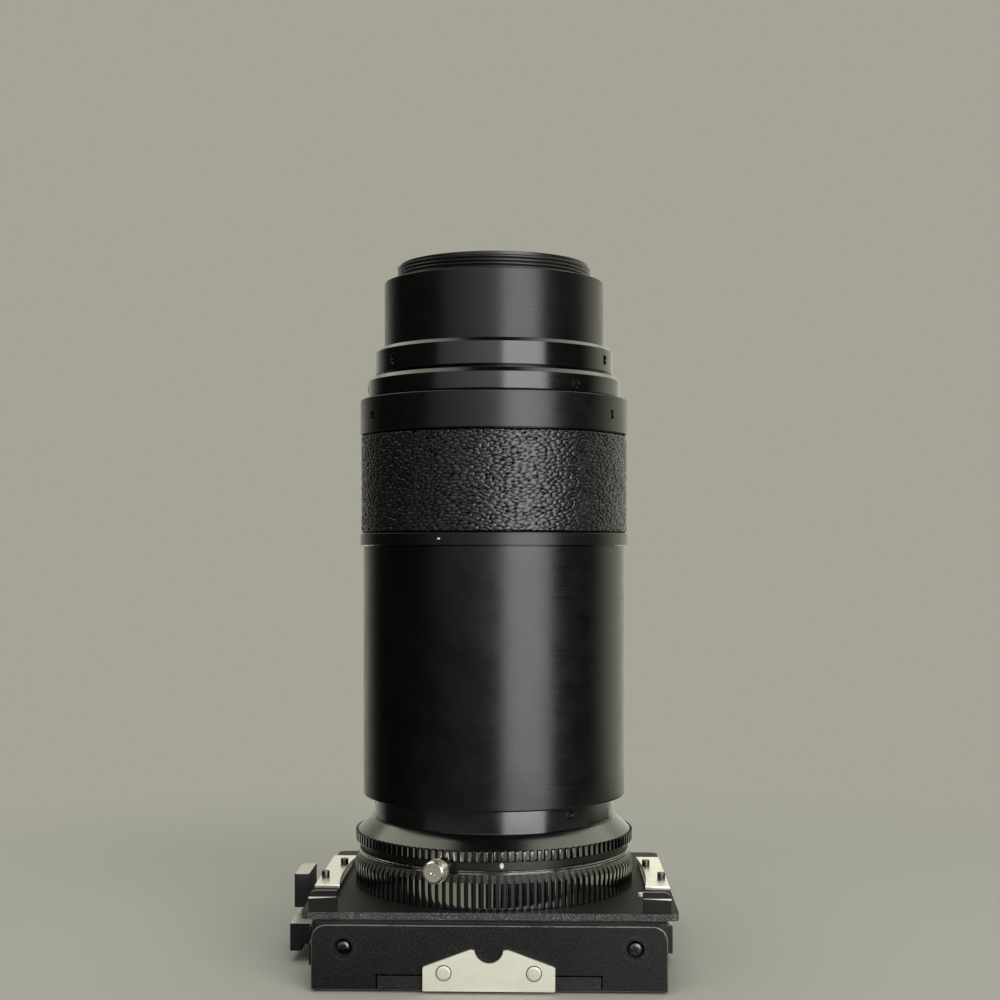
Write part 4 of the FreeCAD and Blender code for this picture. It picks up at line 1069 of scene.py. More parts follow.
# ---- small hardware ---------------------------------------------------------------
@dataclass(frozen=True)
class SetScrews:
    """Three slotted set screws in countersunk holes of a collar."""

    collar_radius: float
    bearing: float
    z: float
    radius: float = 1.0
    slot_width: float = 0.34
    slot_depth: float = 0.4
    slot_turn: float = 35.0
    length: float = 1.2
    sunk: float = 0.4
    count: int = 3

    def screw(self, name: str) -> Thing:
        """Makes one screw along +Z with its slotted end at height 0.

        Args:
            name: the piece's name.

        Returns:
            The screw.
        """
        r, w = self.radius, self.slot_width / 2
        body = lathe(name, [(0, -self.length, 0), (r, -self.length, 0), (r, 0, 0.16), (r * 0.6, 0.04, 0.05),
                            (0, 0.04, 0)], Finishes.grub, 36)
        slot = prism("slot", [(-w, -2 * r), (w, -2 * r), (w, 2 * r), (-w, 2 * r)], -self.slot_depth, 1.0,
                     Finishes.grub)
        return carved(body, [placed(slot, turned(self.slot_turn))])

    def drill(self, collar: Thing, finish: Finish) -> Thing:
        """Cuts the screw holes into a collar.

        Args:
            collar: the collar, changed in place.
            finish: what it is made of.

        Returns:
            The same collar.
        """
        r, floor = self.radius, -self.sunk - 0.05
        outline = [(0, floor, 0), (r + 0.02, floor, 0), (r + 0.04, -0.12, 0), (r + 0.3, 0.14, 0),
                   (r + 0.3, 1.0, 0), (0, 1.0, 0)]
        bearings = (self.bearing + 360.0 * k / self.count for k in range(self.count))
        return weighted(carved(collar, [placed(lathe("hole", outline, finish, 40),
                                               facing(bearing, self.collar_radius, self.z))
                                        for bearing in bearings]))

    def fit(self, arrays: Arrays, body: str, node: str) -> None:
        """Builds and dresses the screws.

        Args:
            arrays: the shared trees.
            body: the body that they move with.
            node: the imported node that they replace.
        """
        one = placed(self.screw(node + "_set"), facing(0.0, self.collar_radius - self.sunk, self.z))
        dressed(arrays.ring.repeat(one, self.count, Finishes.grub, self.bearing), body, node)


@dataclass(frozen=True)
class CrossScrew:
    """Pan-head screw with a cross recess."""

    radius: float = 1.4
    crown: float = 0.6
    wing: float = 0.95
    wing_width: float = 0.34
    depth: float = 0.62
    recess_turn: float = 12.0

    def build(self) -> Thing:
        """Makes the screw along +Z with the underside of its head at height 0.

        Returns:
            The screw.
        """
        r, c, above = self.radius, self.crown, self.crown + 0.3
        finish = Finishes.screw
        head = lathe("cover_screw", [
            (0, -0.25, 0), (r, -0.25, 0.0), (r, 0.1, 0.1), (r * 0.86, c * 0.62, 0.3),
            (r * 0.52, c * 0.93, 0.4), (0, c, 0)], finish, 64, 4)
        w, g, floor = self.wing, self.wing_width / 2, self.crown - self.depth
        cutters = []
        for bearing in (0, 90):
            blade = prism("wing", [(-w, -g), (w, -g), (w, g), (-w, g)], floor, above, finish)
            for vertex in blade.data.vertices:
                if vertex.co.z < (floor + 0.01) * MM:
                    vertex.co.x *= 0.5
                    vertex.co.y *= 0.6
            cutters.append(placed(blade, turned(bearing + self.recess_turn)))
        cutters.append(lathe("centre", [(0, floor - 0.25, 0), (g * 1.2, floor, 0), (g * 1.9, above, 0),
                                        (0, above, 0)], finish, 16))
        return carved(head, cutters)


# ---- sub-assemblies -------------------------------------------------------------------
class RibEnd(Enum):
    """Upper end of a rib: width and height of its chamfer."""

    SQUARE = (0.16, 0.16)
    CHAMFERED = (0.8, 1.6)


@dataclass
class RibbedBand:
    """A band of upright ribs round a drum."""

    crest: float
    low: float
    high: float
    end: RibEnd
    count: int = 120
    depth: float = 0.45
    crest_share: float = 0.56
    root_extra: float = 0.35
    first_bearing: float = 1.5

    def rib(self, name: str) -> Thing:
        """Makes one rib at the front, its foot sunk in the drum.

        Args:
            name: the piece's name.

        Returns:
            The rib.
        """
        crest, half = self.crest, FULL_TURN * self.crest / self.count * self.crest_share / 2
        inner = crest - self.depth - self.root_extra
        flank = [(half * 1.12, inner), (half * 1.06, crest - self.depth * 0.85),
                 (half, crest - self.depth * 0.35), (half * 0.96, crest - 0.07),
                 (half * 0.87, crest - 0.012), (half * 0.8, crest)]
        across = [*flank, *[(-x, r) for x, r in reversed(flank)]]
        wide, tall = self.end.value
        tops = [self.high - max(0.0, r - (crest - wide)) * tall / wide for _, r in across]
        outer = [(x, -r, -(r - 0.12 if r > inner + 0.1 else r)) for x, r in across]
        verts = [*[(x, foot, self.low) for x, _, foot in outer],
                 *[(x, y, self.low + 0.14) for x, y, _ in outer],
                 *[(x, y, top) for (x, y, _), top in zip(outer, tops)]]
        piece = stored(name, verts, loft(3, len(across)), Finishes.ribs, 24.0)
        marks = piece.data.attributes.new("crest", "BOOLEAN", "FACE")
        width, lowest = half * 0.9 * MM, (crest - self.depth * 0.45) * MM
        for face, mark in zip(piece.data.polygons, marks.data):
            mark.value = abs(face.center.x) < width and -face.center.y > lowest
        return piece

    def build(self, name: str, arrays: Arrays) -> Thing:
        """Repeats the rib round the band.

        Args:
            name: the piece's name.
            arrays: the shared trees.

        Returns:
            All ribs as one mesh.
        """
        band = arrays.ring.repeat(self.rib(name), self.count, Finishes.ribs, self.first_bearing,
                                  Finishes.crest)
        # painted highlight: the upward chamfer faces are repainted light grey
        if self.end is RibEnd.CHAMFERED:
            lowest = self.high - self.end.value[1] - 0.1
            repainted(band, Finishes.chamfer, lambda c, n: c.z > lowest and n.z > 0.2)
        return band


@dataclass(frozen=True)
class Collar:
    """A collar with a chamfer at its upper rim and holes for its set screws."""

    bore: float
    low: float
    high: float
    chamfer: float
    lip: float
    screws: SetScrews

    def build(self, name: str) -> Thing:
        """Turns and drills the collar.

        Args:
            name: the piece's name.

        Returns:
            The collar.
        """
        r, high = self.screws.collar_radius, self.high
        ring = lathe(name, [(self.bore, self.low, 0), (r, self.low, 0.15), (r, high - self.chamfer, 0.1),
                            (r - self.chamfer, high, 0.1), (self.bore, high, self.lip)], Finishes.collar)
        return self.screws.drill(ring, Finishes.collar)


@dataclass
class Barrel(Section):
    """Foot, long sleeve and end collar, with what is inside them."""

    foot_rim: float = 30.0
    rim_low: float = 24.6
    rim_high: float = 26.8
    cone_top: float = 29.5
    cone_radius: float = 26.5
    neck_top: float = 34.3
    neck_bore: float = 25.25
    spigot_bore: float = 24.1
    spigot_radius: float = 26.6
    seat_z: float = 21.0
    seat_radius: float = 28.1
    sleeve_radius: float = 28.35
    sleeve_bore: float = 25.3
    sleeve_top: float = 87.7
    neck_screws: SetScrews = SetScrews(25.85, 38.6, 32.7, radius=0.8, slot_width=0.26)
    collar: Collar = Collar(bore=23.95, low=119.6, high=124.0, chamfer=0.9, lip=0.2,
                            screws=SetScrews(27.4, 39.3, 121.35))
    kept = {Finishes.inner: ("inner_barrel",), Finishes.baffle: ("lower_baffle",),
            Finishes.cam: ("retaining_ring",)}

    def pieces(self) -> None:
        """Builds and dresses the barrel."""
        self.foot()
        self.sleeve()
        dressed(self.collar.build("end_collar_turned"), "barrel", "end_collar")
        self.neck_screws.fit(self.arrays, "barrel", "neck_screws")
        self.collar.screws.fit(self.arrays, "barrel", "end_collar_screws")

    def foot(self) -> None:
        """Turned foot with its ribbed rim; the spigot below reaches into the head."""
        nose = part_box("barrel_foot")[0].z / MM
        low, high, root = self.rim_low, self.rim_high, self.foot_rim - 0.45
        neck = self.neck_screws.collar_radius
        drum = lathe("foot_drum", [
            (self.spigot_bore, nose, 0), (self.spigot_radius, nose, 0.2),
            (self.spigot_radius, self.seat_z, 0), (self.seat_radius, self.seat_z, 0.1),
            (self.seat_radius, low, 0), (root - 0.25, low, 0.15), (root, low + 0.3, 0.1),
            (root, high - 0.12, 0.12), (self.cone_radius, self.cone_top, 0.12),
            (neck, self.cone_top - 0.02, 0.08), (neck, self.neck_top, 0.1),
            (self.neck_bore, self.neck_top, 0.1), (self.neck_bore, nose + 8, 0),
            (self.spigot_bore, nose + 8, 0)], Finishes.foot)
        self.neck_screws.drill(drum, Finishes.foot)
        ribs = RibbedBand(self.foot_rim, low, high, RibEnd.SQUARE).build("foot_ribs", self.arrays)
        dressed(joined("foot_turned", drum, ribs), "barrel", "barrel_foot")

    def sleeve(self) -> None:
        """Plain sleeve with fine rounded ends and a low step under the zoom ring."""
        low, top, step = self.neck_top, self.sleeve_top, self.sleeve_top + 0.25
        dressed(lathe("sleeve_turned", [
            (self.sleeve_bore, low, 0), (self.sleeve_radius, low, 0.35), (self.sleeve_radius, top, 0.06),
            (27.3, top, 0), (27.3, step, 0), (26.4, step, 0), (26.4, top, 0), (self.sleeve_bore, top, 0)],
            Finishes.sleeve), "barrel", "barrel_sleeve")


@dataclass
class ZoomSection(Section):
    """Zoom ring with its pebbled grip."""

    low: float = 88.0
    high: float = 119.2
    bore: float = 26.3
    seat_radius: float = 28.2
    grip_radius: float = 28.85
    grip_bore: float = 28.15
    grip_low: float = 90.6
    grip_high: float = 111.6
    grain_width: float = 1.6
    grain_height: float = 0.7
    grain_relief: float = 0.38
    mark_bearing: float = -21.0
    screws: SetScrews = SetScrews(29.0, 59.9, 115.2, radius=0.9)
    kept = {Finishes.cam: ("cam_tube",)}

    def pieces(self) -> None:
        """Builds and dresses the zoom ring."""
        r, seat, low, high = self.screws.collar_radius, self.seat_radius, self.grip_low, self.grip_high
        ring = lathe("zoom_ring_turned", [
            (self.bore, self.low, 0), (r, self.low, 0.06), (r, low - 0.15, 0.12), (seat, low - 0.15, 0),
            (seat, high + 0.15, 0), (r, high + 0.15, 0.12), (r, self.high, 0.25),
            (self.bore, self.high, 0.15)], Finishes.zoom)
        self.screws.drill(ring, Finishes.zoom)
        mark = lathe("mark", [(0, -0.3, 0), (0.2, -0.3, 0), (0.2, 0.03, 0.04), (0, 0.03, 0)],
                     Finishes.mark, 20)
        wider = Matrix.Diagonal((1.7, 1.0, 1.0, 1.0))
        placed(mark, facing(self.mark_bearing, r, (self.low + low) / 2) @ wider)
        dressed(joined("zoom_ring_marked", ring, mark), "zoom", "zoom_ring")
        dressed(self.grip(), "zoom", "grip_sleeve")
        self.screws.fit(self.arrays, "zoom", "zoom_ring_screws")

    def grain(self, u: np.ndarray, v: np.ndarray, columns: int, rows: int) -> np.ndarray:
        """Height of the leather grains.

        Args:
            u: place round the grip, in grains.
            v: place up the grip, in grains.
            columns: grains round the grip.
            rows: grains up the grip.

        Returns:
            Height from 0, in a crease, to 1.
        """
        crease, spare = 0.42, 4     # width of a crease, and rows of grains past each end
        chance = np.random.default_rng(19)
        jitter = chance.uniform(-0.42, 0.42, (rows + 2 * spare, columns, 2))
        lift = chance.uniform(0.72, 1.0, (rows + 2 * spare, columns))
        around = u * FULL_TURN / columns
        v = v + 0.45 * np.sin(around * 9) + 0.25 * np.sin(around * 31 + v * 0.7)
        near, height = np.full(u.shape, 9.0), np.zeros(u.shape)
        second = near.copy()
        for dj in range(-2, 3):
            for di in range(-2, 3):
                i, j = np.floor(u).astype(int) + di, np.floor(v).astype(int) + dj
                row, column = np.clip(j + spare, 0, rows + 2 * spare - 1), i % columns
                spot = jitter[row, column]
                away = np.hypot(u - (i + 0.5 + spot[..., 0] + 0.5 * (j % 2)), v - (j + 0.5 + spot[..., 1]))
                closer = away < near
                second = np.where(closer, near, np.minimum(second, away))
                height = np.where(closer, lift[row, column], height)
                near = np.where(closer, away, near)
        edge = np.clip((second - near) / crease, 0.0, 1.0)
        return height * np.sqrt(edge * (2 - edge))

    def grip(self) -> Thing:
        """Builds the grip as a closed sleeve whose outside carries real grains.

        Returns:
            The grip.
        """
        around, up = 660, 140
        tall = self.grip_high - self.grip_low
        columns = round(FULL_TURN * self.grip_radius / self.grain_width)
        rows = round(tall / self.grain_height)
        k, j = np.arange(around), np.arange(up + 1)
        u, v = np.meshgrid(k * columns / around, j * rows / up, indexing="ij")
        rim = np.clip(np.minimum(j, up - j) / 3.0, 0.0, 1.0)
        height = self.grain(u, v, columns, rows) * rim[None, :]
        radius = self.grip_radius - self.grain_relief + self.grain_relief * height
        angle = FULL_TURN * k[:, None] / around
        z = np.broadcast_to(self.grip_low + tall * j[None, :] / up, radius.shape)
        outer = np.stack([radius * np.sin(angle), -radius * np.cos(angle), z], -1)
        inner = [(self.grip_bore * math.sin(a), -self.grip_bore * math.cos(a), end)
                 for a in angle[:, 0] for end in (self.grip_low, self.grip_high)]
        n, base = up + 1, around * (up + 1)
        faces = []
        for a in range(around):
            b = (a + 1) % around
            left, right, in_left, in_right = a * n, b * n, base + 2 * a, base + 2 * b
            faces += [(left + i, right + i, right + i + 1, left + i + 1) for i in range(up)]
            faces += [(in_left, in_left + 1, in_right + 1, in_right), (left, in_left, in_right, right),
                      (left + up, right + up, in_right + 1, in_left + 1)]
        verts = [*map(tuple, outer.reshape(-1, 3)), *inner]
        piece = stored("grip_leather", verts, faces, Finishes.leather, 180.0)
        values = np.zeros(len(piece.data.vertices), dtype=np.float32)
        values[:height.size] = height.reshape(-1)
        piece.data.attributes.new("grain", "FLOAT", "POINT").data.foreach_set("value", values)
        return piece


@dataclass
class CameraSection(Section):
    """Sliding camera tube, its stop collar and the camera thread."""

    tube_radius: float = 23.8
    tube_bore: float = 22.9
    tube_low: float = 94.0
    tube_high: float = 144.6
    thread_root: float = 20.5
    thread_crest: float = 21.0
    thread_low: float = 145.0
    thread_top: float = 148.5
    thread_pitch: float = 0.75
    thread_bore: float = 19.3
    ridge_root: float = 0.62
    ridge_crest: float = 0.16
    collar: Collar = Collar(bore=23.8, low=124.7, high=130.2, chamfer=0.8, lip=0.15,
                            screws=SetScrews(25.8, -53.2, 127.05))
    kept = {Finishes.brass: ("camera_tube_pins",), Finishes.baffle: ("camera_baffle",)}

    def pieces(self) -> None:
        """Builds and dresses the camera end."""
        r, bore, low, high = self.tube_radius, self.tube_bore, self.tube_low, self.tube_high
        tube = lathe("camera_tube_turned", [
            (bore, low, 0.1), (r, low, 0.2), (r, high, 0.22), (bore, high, 0)], Finishes.tube)
        dressed(tube, "camera_slide", "camera_tube")
        dressed(self.collar.build("stop_collar_turned"), "camera_slide", "stop_collar")
        self.collar.screws.fit(self.arrays, "camera_slide", "stop_collar_screws")
        dressed(self.thread(), "camera_slide", "camera_thread")

    def thread(self) -> Thing:
        """Builds the end ring with its helical ridge.

        Returns:
            The ring.
        """
        low, shoulder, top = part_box("camera_thread")[0].z / MM, self.tube_high, self.thread_top
        core = lathe("camera_thread_core", [
            (self.thread_bore, low, 0.1), (self.tube_bore, low, 0.2), (self.tube_bore, shoulder, 0.0),
            (self.thread_root, shoulder, 0.0), (self.thread_root, top, 0.15), (self.thread_bore, top, 0.2)],
            Finishes.thread)
        tall = top - 0.55 - self.thread_low
        depth = self.thread_crest - self.thread_root + 0.1
        sizes = {"Radius": self.thread_crest - depth / 2, "Height": tall, "Root Width": self.ridge_root,
                 "Crest Width": self.ridge_crest, "Depth": depth, "Bottom": self.thread_low}
        values = {label: size * MM for label, size in sizes.items()}
        ridge = prism("camera_thread_ridge", [(0, 0), (1, 0), (0, 1)], 0, 1, Finishes.thread)
        self.arrays.helix.run(ridge, {"Turns": tall / self.thread_pitch, **values}, Finishes.thread)
        return joined("camera_thread_cut", core, ridge)


@dataclass
class Head(Section):
    """Ribbed ring with its index line and lock screw, on the crackle-painted tray."""

    ring_crest: float = 30.0
    ring_low: float = 15.0
    ring_high: float = 22.0
    ring_bore: float = 26.9
    seat_bore: float = 28.12
    seat_z: float = 18.7
    collar_radius: float = 28.4
    collar_top: float = 24.3
    dot_bearing: float = 4.8
    dot_z: float = 23.65
    index_radius: float = 29.2
    index_gap: float = 12.0
    index_steps: int = 200
    knob_bearing: float = -18.6
    knob_z: float = 23.15
    knob_radius: float = 2.35
    knob_start: float = 31.7
    knob_end: float = 35.0
    knob_ribs: int = 40
    shank_end: float = 28.15
    shank_radius: float = 0.8
    kept = {Finishes.pin_and_ledge_highlight: ("stop_pin",), Finishes.screw: ("head_screws",)}

    def pieces(self) -> None:
        """Builds and dresses the head."""
        self.ring()
        dressed(self.index_line(), "head", "index_ring")
        # one black paint in lit and shaded copies: painted highlight on the front and rounded edges,
        # painted shade on the upward faces
        tray = softened("head_tray", "tray_painted", Finishes.tray, 0.35, 3, 1.2, Finishes.tray_edge_highlight,
                        Finishes.tray_top_shade)
        # painted highlight: a bright line on the upward ledge of the tray's front tabs
        repainted(tray, Finishes.pin_and_ledge_highlight, lambda c, n: abs(c.x) > 30.6 and c.y < -31.5 and 17.55 < c.z < 18.1)
        repainted(tray, Finishes.block, lambda c, n: abs(c.x) > 30.2 and c.y < -30.4 and (
            15.6 < c.z < 17.55 or c.z > 18.1))
        dressed(tray, "head", "head_tray")
        dressed(self.knob(), "lock_screw", "lock_knob")

    def ring(self) -> None:
        """Ribbed ring with a white dot on its collar."""
        root, low, high, top = self.ring_crest - 0.45, self.ring_low, self.ring_high, self.collar_top
        drum = lathe("head_drum", [
            (self.ring_bore, low, 0), (root, low, 0.1), (root, high - 0.7, 0.05), (root - 0.35, high, 0.06),
            (self.collar_radius, high, 0.0), (self.collar_radius, top, 0.15), (self.seat_bore, top, 0.0),
            (self.seat_bore, self.seat_z, 0), (self.ring_bore, self.seat_z, 0)], Finishes.head)
        ribs = RibbedBand(self.ring_crest, low, high, RibEnd.CHAMFERED).build("head_ribs", self.arrays)
        dot = lathe("index_dot", [(0, -0.3, 0), (0.42, -0.3, 0), (0.42, 0.03, 0.05), (0, 0.05, 0)],
                    Finishes.mark, 24)
        taller = Matrix.Diagonal((1.0, 1.0, 1.5, 1.0))
        placed(dot, Matrix.Translation((0, 0, self.dot_z)) @ taller @ facing(
            self.dot_bearing, self.collar_radius, 0.0))
        dressed(joined("head_ring_turned", drum, ribs, dot), "head", "head_ring")

    def index_line(self) -> Thing:
        """Bright ring with a dark groove, open behind the lock screw.

        Returns:
            The ring.
        """
        rim, inner, groove = self.index_radius, self.collar_radius - 0.05, self.index_radius - 0.07
        section = [(inner, 0), (rim, 0), (rim, 0.26), (groove, 0.32), (groove, 0.48), (rim, 0.54),
                   (rim, 0.68), (groove, 0.75), (inner, 0.75)]
        start, arc, steps = self.knob_bearing + self.index_gap / 2, 360.0 - self.index_gap, self.index_steps
        verts = [at_bearing(r, start + arc * k / steps, self.ring_high + z)
                 for k in range(steps + 1) for r, z in section]
        line = stored("index_line", verts, loft(steps + 1, len(section)), Finishes.index, 20.0)
        return repainted(line, Finishes.head, lambda c, n: math.hypot(c.x, c.y) < rim - 0.04)

    def knob(self) -> Thing:
        """Builds the knurled lock screw.

        Returns:
            The knob on its shank, in place.
        """
        r, shank, length = self.knob_radius, self.shank_radius, self.knob_end - self.knob_start
        tip = self.shank_end - self.knob_start
        core = lathe("knob_core", [
            (0, tip, 0), (shank, tip, 0), (shank, 0, 0), (r - 0.45, 0, 0.1), (r - 0.16, 0.3, 0.05),
            (r - 0.16, length - 0.3, 0.1), (r - 0.42, length, 0.12), (0.5, length, 0),
            (0.38, length - 0.12, 0), (0, length - 0.16, 0)], Finishes.knob, 72)
        ridge = prism("knob_ridge", [(-0.11, 0.35 - r), (0.11, 0.35 - r), (0.035, -r), (-0.035, -r)],
                      0.32, length - 0.32, Finishes.knob)
        self.arrays.ring.repeat(ridge, self.knob_ribs, Finishes.knob)
        place = facing(self.knob_bearing, self.knob_start, self.knob_z)
        return placed(joined("lock_knob_knurled", core, ridge), place)


@dataclass
class Stage(Section):
    """Housing, covers and shoes."""

    cover_half: float = 35.1
    cover_low: float = 0.4
    cover_high: float = 13.3
    cover_corner: float = 3.0
    cover_back: float = 34.0
    cover_face: float = 35.2
    screw_x: float = 28.7
    screw_z: float = 8.8
    screw_sunk: float = 0.5
    recess_radius: float = 1.75
    passage_floor: float = 0.8
    passage_ease: float = 0.03
    passage_half: float = 22.3
    passage_high: float = 3.6
    passage_lip_half: float = 10.7
    passage_lip_high: float = 5.9
    screw: CrossScrew = CrossScrew()

    def pieces(self) -> None:
        """Builds and dresses the stage."""
        dressed(self.housing(), "stage", "stage_housing")
        for node, side in (("front_cover", 1), ("rear_cover", -1)):
            dressed(joined(node + "_ringed", self.cover(side), *self.witness_rings(side)), "stage", node)
        self.cover_screws()
        for node, look, finish in (
                ("shoe_left", "black", Finishes.block), ("shoe_plate_left", "bright", Finishes.shoe),
                ("shoe_right", "black", Finishes.block), ("shoe_plate_right", "bright", Finishes.shoe)):
            dressed(softened(node, f"{node}_{look}", finish, 0.15, 2, 0.8), "stage", node)
        dressed(softened("shoe_screws", "shoe_screws_black", Finishes.screw, 0.08, 2, 0.1), "stage",
                "shoe_screws")

    def housing(self) -> Thing:
        """Painted housing, its floor a hair lower under the drawer, so that the drawer glides clear of it.

        Returns:
            The housing.
        """
        housing = softened("stage_housing", "housing_painted", Finishes.housing, 0.3, 3, 1.0,
                           Finishes.plain_edge)
        for vertex in housing.data.vertices:
            if abs(vertex.co.z / MM - self.passage_floor) < 0.1:
                vertex.co.z -= self.passage_ease * MM
        housing.data.update()
        return housing

    def cover(self, side: int) -> Thing:
        """Plate with rounded upper corners, screw recesses and, in front, the drawer's passage.

        Args:
            side: 1 for the front cover, -1 for the rear one.

        Returns:
            The plate in place.
        """
        w, low, high, r = self.cover_half, self.cover_low, self.cover_high, self.cover_corner
        spot, face = self.recess_radius, self.cover_face
        corner = [(math.cos(a) * r, math.sin(a) * r) for a in (math.pi / 2 * k / 10 for k in range(11))]
        outline = [(-w, low), (w, low), *[(w - r + x, high - r + z) for x, z in corner],
                   *[(r - w - x, high - r + z) for x, z in reversed(corner)]]
        plate = prism("plate", outline, self.cover_back, face, Finishes.cover, 0.22, 3)
        recess = [(0, 0, 0), (spot, 0, 0), (spot, 2, 0), (0, 2, 0)]
        cutters = [placed(lathe("spot", recess, Finishes.cover, 48),
                          Matrix.Translation((x, self.screw_z, face - self.screw_sunk)))
                   for x in (-self.screw_x, self.screw_x)]
        if side == 1:
            wide, lip, floor = self.passage_half, self.passage_lip_half, self.passage_floor
            step, top = self.passage_high, self.passage_lip_high
            cutters.append(prism("passage", [
                (-wide, floor), (wide, floor), (wide, step), (lip, step), (lip, top), (-lip, top),
                (-lip, step), (-wide, step)], self.cover_back - 1, face + 1, Finishes.cover))
        weighted(carved(plate, cutters))
        # the upper rim faces get the light edge finish: partly wear, partly a painted highlight
        repainted(plate, Finishes.cover_edge_wear_and_highlight, lambda c, n: c.z > face - 0.3 and 0.1 < n.z < 0.97)
        return placed(plate, turned(0 if side == 1 else 180) @ turned(90, "X"))

    def witness_rings(self, side: int) -> list[Thing]:
        """Low ring in the paint round each cover screw, left by its spot face.

        Args:
            side: 1 for the front cover, -1 for the rear one.

        Returns:
            Two rings in place.
        """
        outline = [(2.3, -0.1, 0), (2.6, -0.1, 0), (2.5, 0.03, 0.02), (2.4, 0.03, 0.02)]
        return [placed(lathe("ring", outline, Finishes.spot_ring, 64), Matrix.Translation(
            (x, -side * self.cover_face, self.screw_z)) @ turned(90 * side, "X"))
            for x in (-self.screw_x, self.screw_x)]

    def cover_screws(self) -> None:
        """Four cross-head screws in the covers' recesses."""
        made = [placed(self.screw.build(), Matrix.Translation(
            (x, self.screw_sunk - self.cover_face, self.screw_z)) @ turned(90, "X") @ turned(bearing))
            for x, bearing in ((-self.screw_x, 40), (self.screw_x, 17))]
        both_sides = self.arrays.ring.repeat(joined("cover_screws_cross", *made), 2, Finishes.screw)
        dressed(both_sides, "stage", "cover_screws")


@dataclass
class Gate(Section):
    """Sliding gate that holds the slide."""

    reflection_from: float = 35.3
    kept = {Finishes.steel: ("gate_rails",), Finishes.spring: ("gate_springs",),
            Finishes.rivet: ("gate_rivets",)}

    def pieces(self) -> None:
        """Builds and dresses the two jaws; outside the housing their upward faces get a light metal colour,
        a painted reflection.
        """
        for node in ("gate_base", "gate_cover"):
            jaw = softened(node, node + "_painted", Finishes.gate, 0.25, 2, 0.8, Finishes.plain_edge)
            # painted reflection: upward faces outside the housing are repainted in light metal
            repainted(jaw, Finishes.gate_top_reflection, lambda c, n: abs(c.x) > self.reflection_from and n.z > 0.9)
            dressed(jaw, "gate", node)


@dataclass
class Drawer(Section):
    """Diffuser drawer with its bright finger plate."""

    rivet_x: float = 8.85
    rivet_z: float = 4.2
    rivet_radius: float = 1.5
    plate_half: float = 13.0
    plate_low: float = 0.6
    plate_shoulder: float = 5.3
    plate_high: float = 8.7
    plate_back: float = 35.4
    plate_face: float = 36.3
    tip_x: float = 3.75
    notch_radius: float = 2.85
    notch_floor: float = 6.05
    kept = {Finishes.drawer: ("drawer_frame",), Finishes.opal: ("opal_diffuser",)}

    def pieces(self) -> None:
        """Builds and dresses the drawer."""
        dressed(self.finger_plate(), "drawer", "finger_plate")
        r = self.rivet_radius
        rivet = lathe("drawer_rivets_bright", [
            (0, -0.95, 0), (0.7, -0.95, 0), (0.7, 0, 0), (r - 0.1, 0.0, 0.0), (r - 0.1, 0.16, 0.06),
            (r * 0.7, 0.22, 0.2), (0, 0.24, 0)], Finishes.rivet, 48)
        # painted shade: a dark ring round the foot of each rivet head, where its shadow falls on the plate
        rivet_shade = lathe("drawer_rivets_painted_shade", [
            (r - 0.15, -0.1, 0), (r + 0.08, -0.1, 0), (r + 0.08, 0.012, 0), (r - 0.15, 0.03, 0)],
            Finishes.screw, 48)
        x = self.rivet_x * MM
        row = {"Count": 2, "First": (-x, -self.plate_face * MM, self.rivet_z * MM),
               "Step": (2 * x, 0.0, 0.0)}
        for part, finish in ((rivet, Finishes.rivet), (rivet_shade, Finishes.screw)):
            self.arrays.row.run(placed(part, turned(90, "X")), row, finish)
        dressed(joined("drawer_rivets_set", rivet, rivet_shade), "drawer", "drawer_rivets")

    def finger_plate(self) -> Thing:
        """Pointed plate with a round finger notch between two softened tips.

        Returns:
            The plate in place.
        """
        w, r, high = self.plate_half, self.notch_radius, self.plate_high
        middle, steps = self.notch_floor + r, 28
        notch = [(-r * math.sin(a), middle - r * math.cos(a), 0.0) for a in
                 (math.radians(-84.0 + 168.0 * k / steps) for k in range(steps + 1))]
        right = [(w, self.plate_low, 0.2), (w, self.plate_shoulder, 0.5), (self.tip_x, high, 0.5),
                 (r + 0.06, high - 0.08, 0.3)]
        left = [(-x, z, radius) for x, z, radius in reversed(right)]
        plate = prism("finger_plate_bright", rounded_corners([*right, *notch, *left], 4), self.plate_back,
                      self.plate_face, Finishes.finger, 0.1, 2)
        return placed(plate, turned(90, "X"))


@dataclass
class LensGroup(Section):
    """Moving lens: carriage, cell and glasses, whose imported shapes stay."""

    kept = {Finishes.inner: ("lens_carriage",), Finishes.brass: ("lens_carriage_pins",),
            Finishes.cell: ("lens_cell", "lower_retainer", "upper_retainer", "lower_spacer",
                            "upper_spacer"),
            Finishes.baffle: ("stop_plate",), Finishes.flint: ("flint_glass",),
            Finishes.crown: ("front_glass", "middle_glass", "crown_glass")}


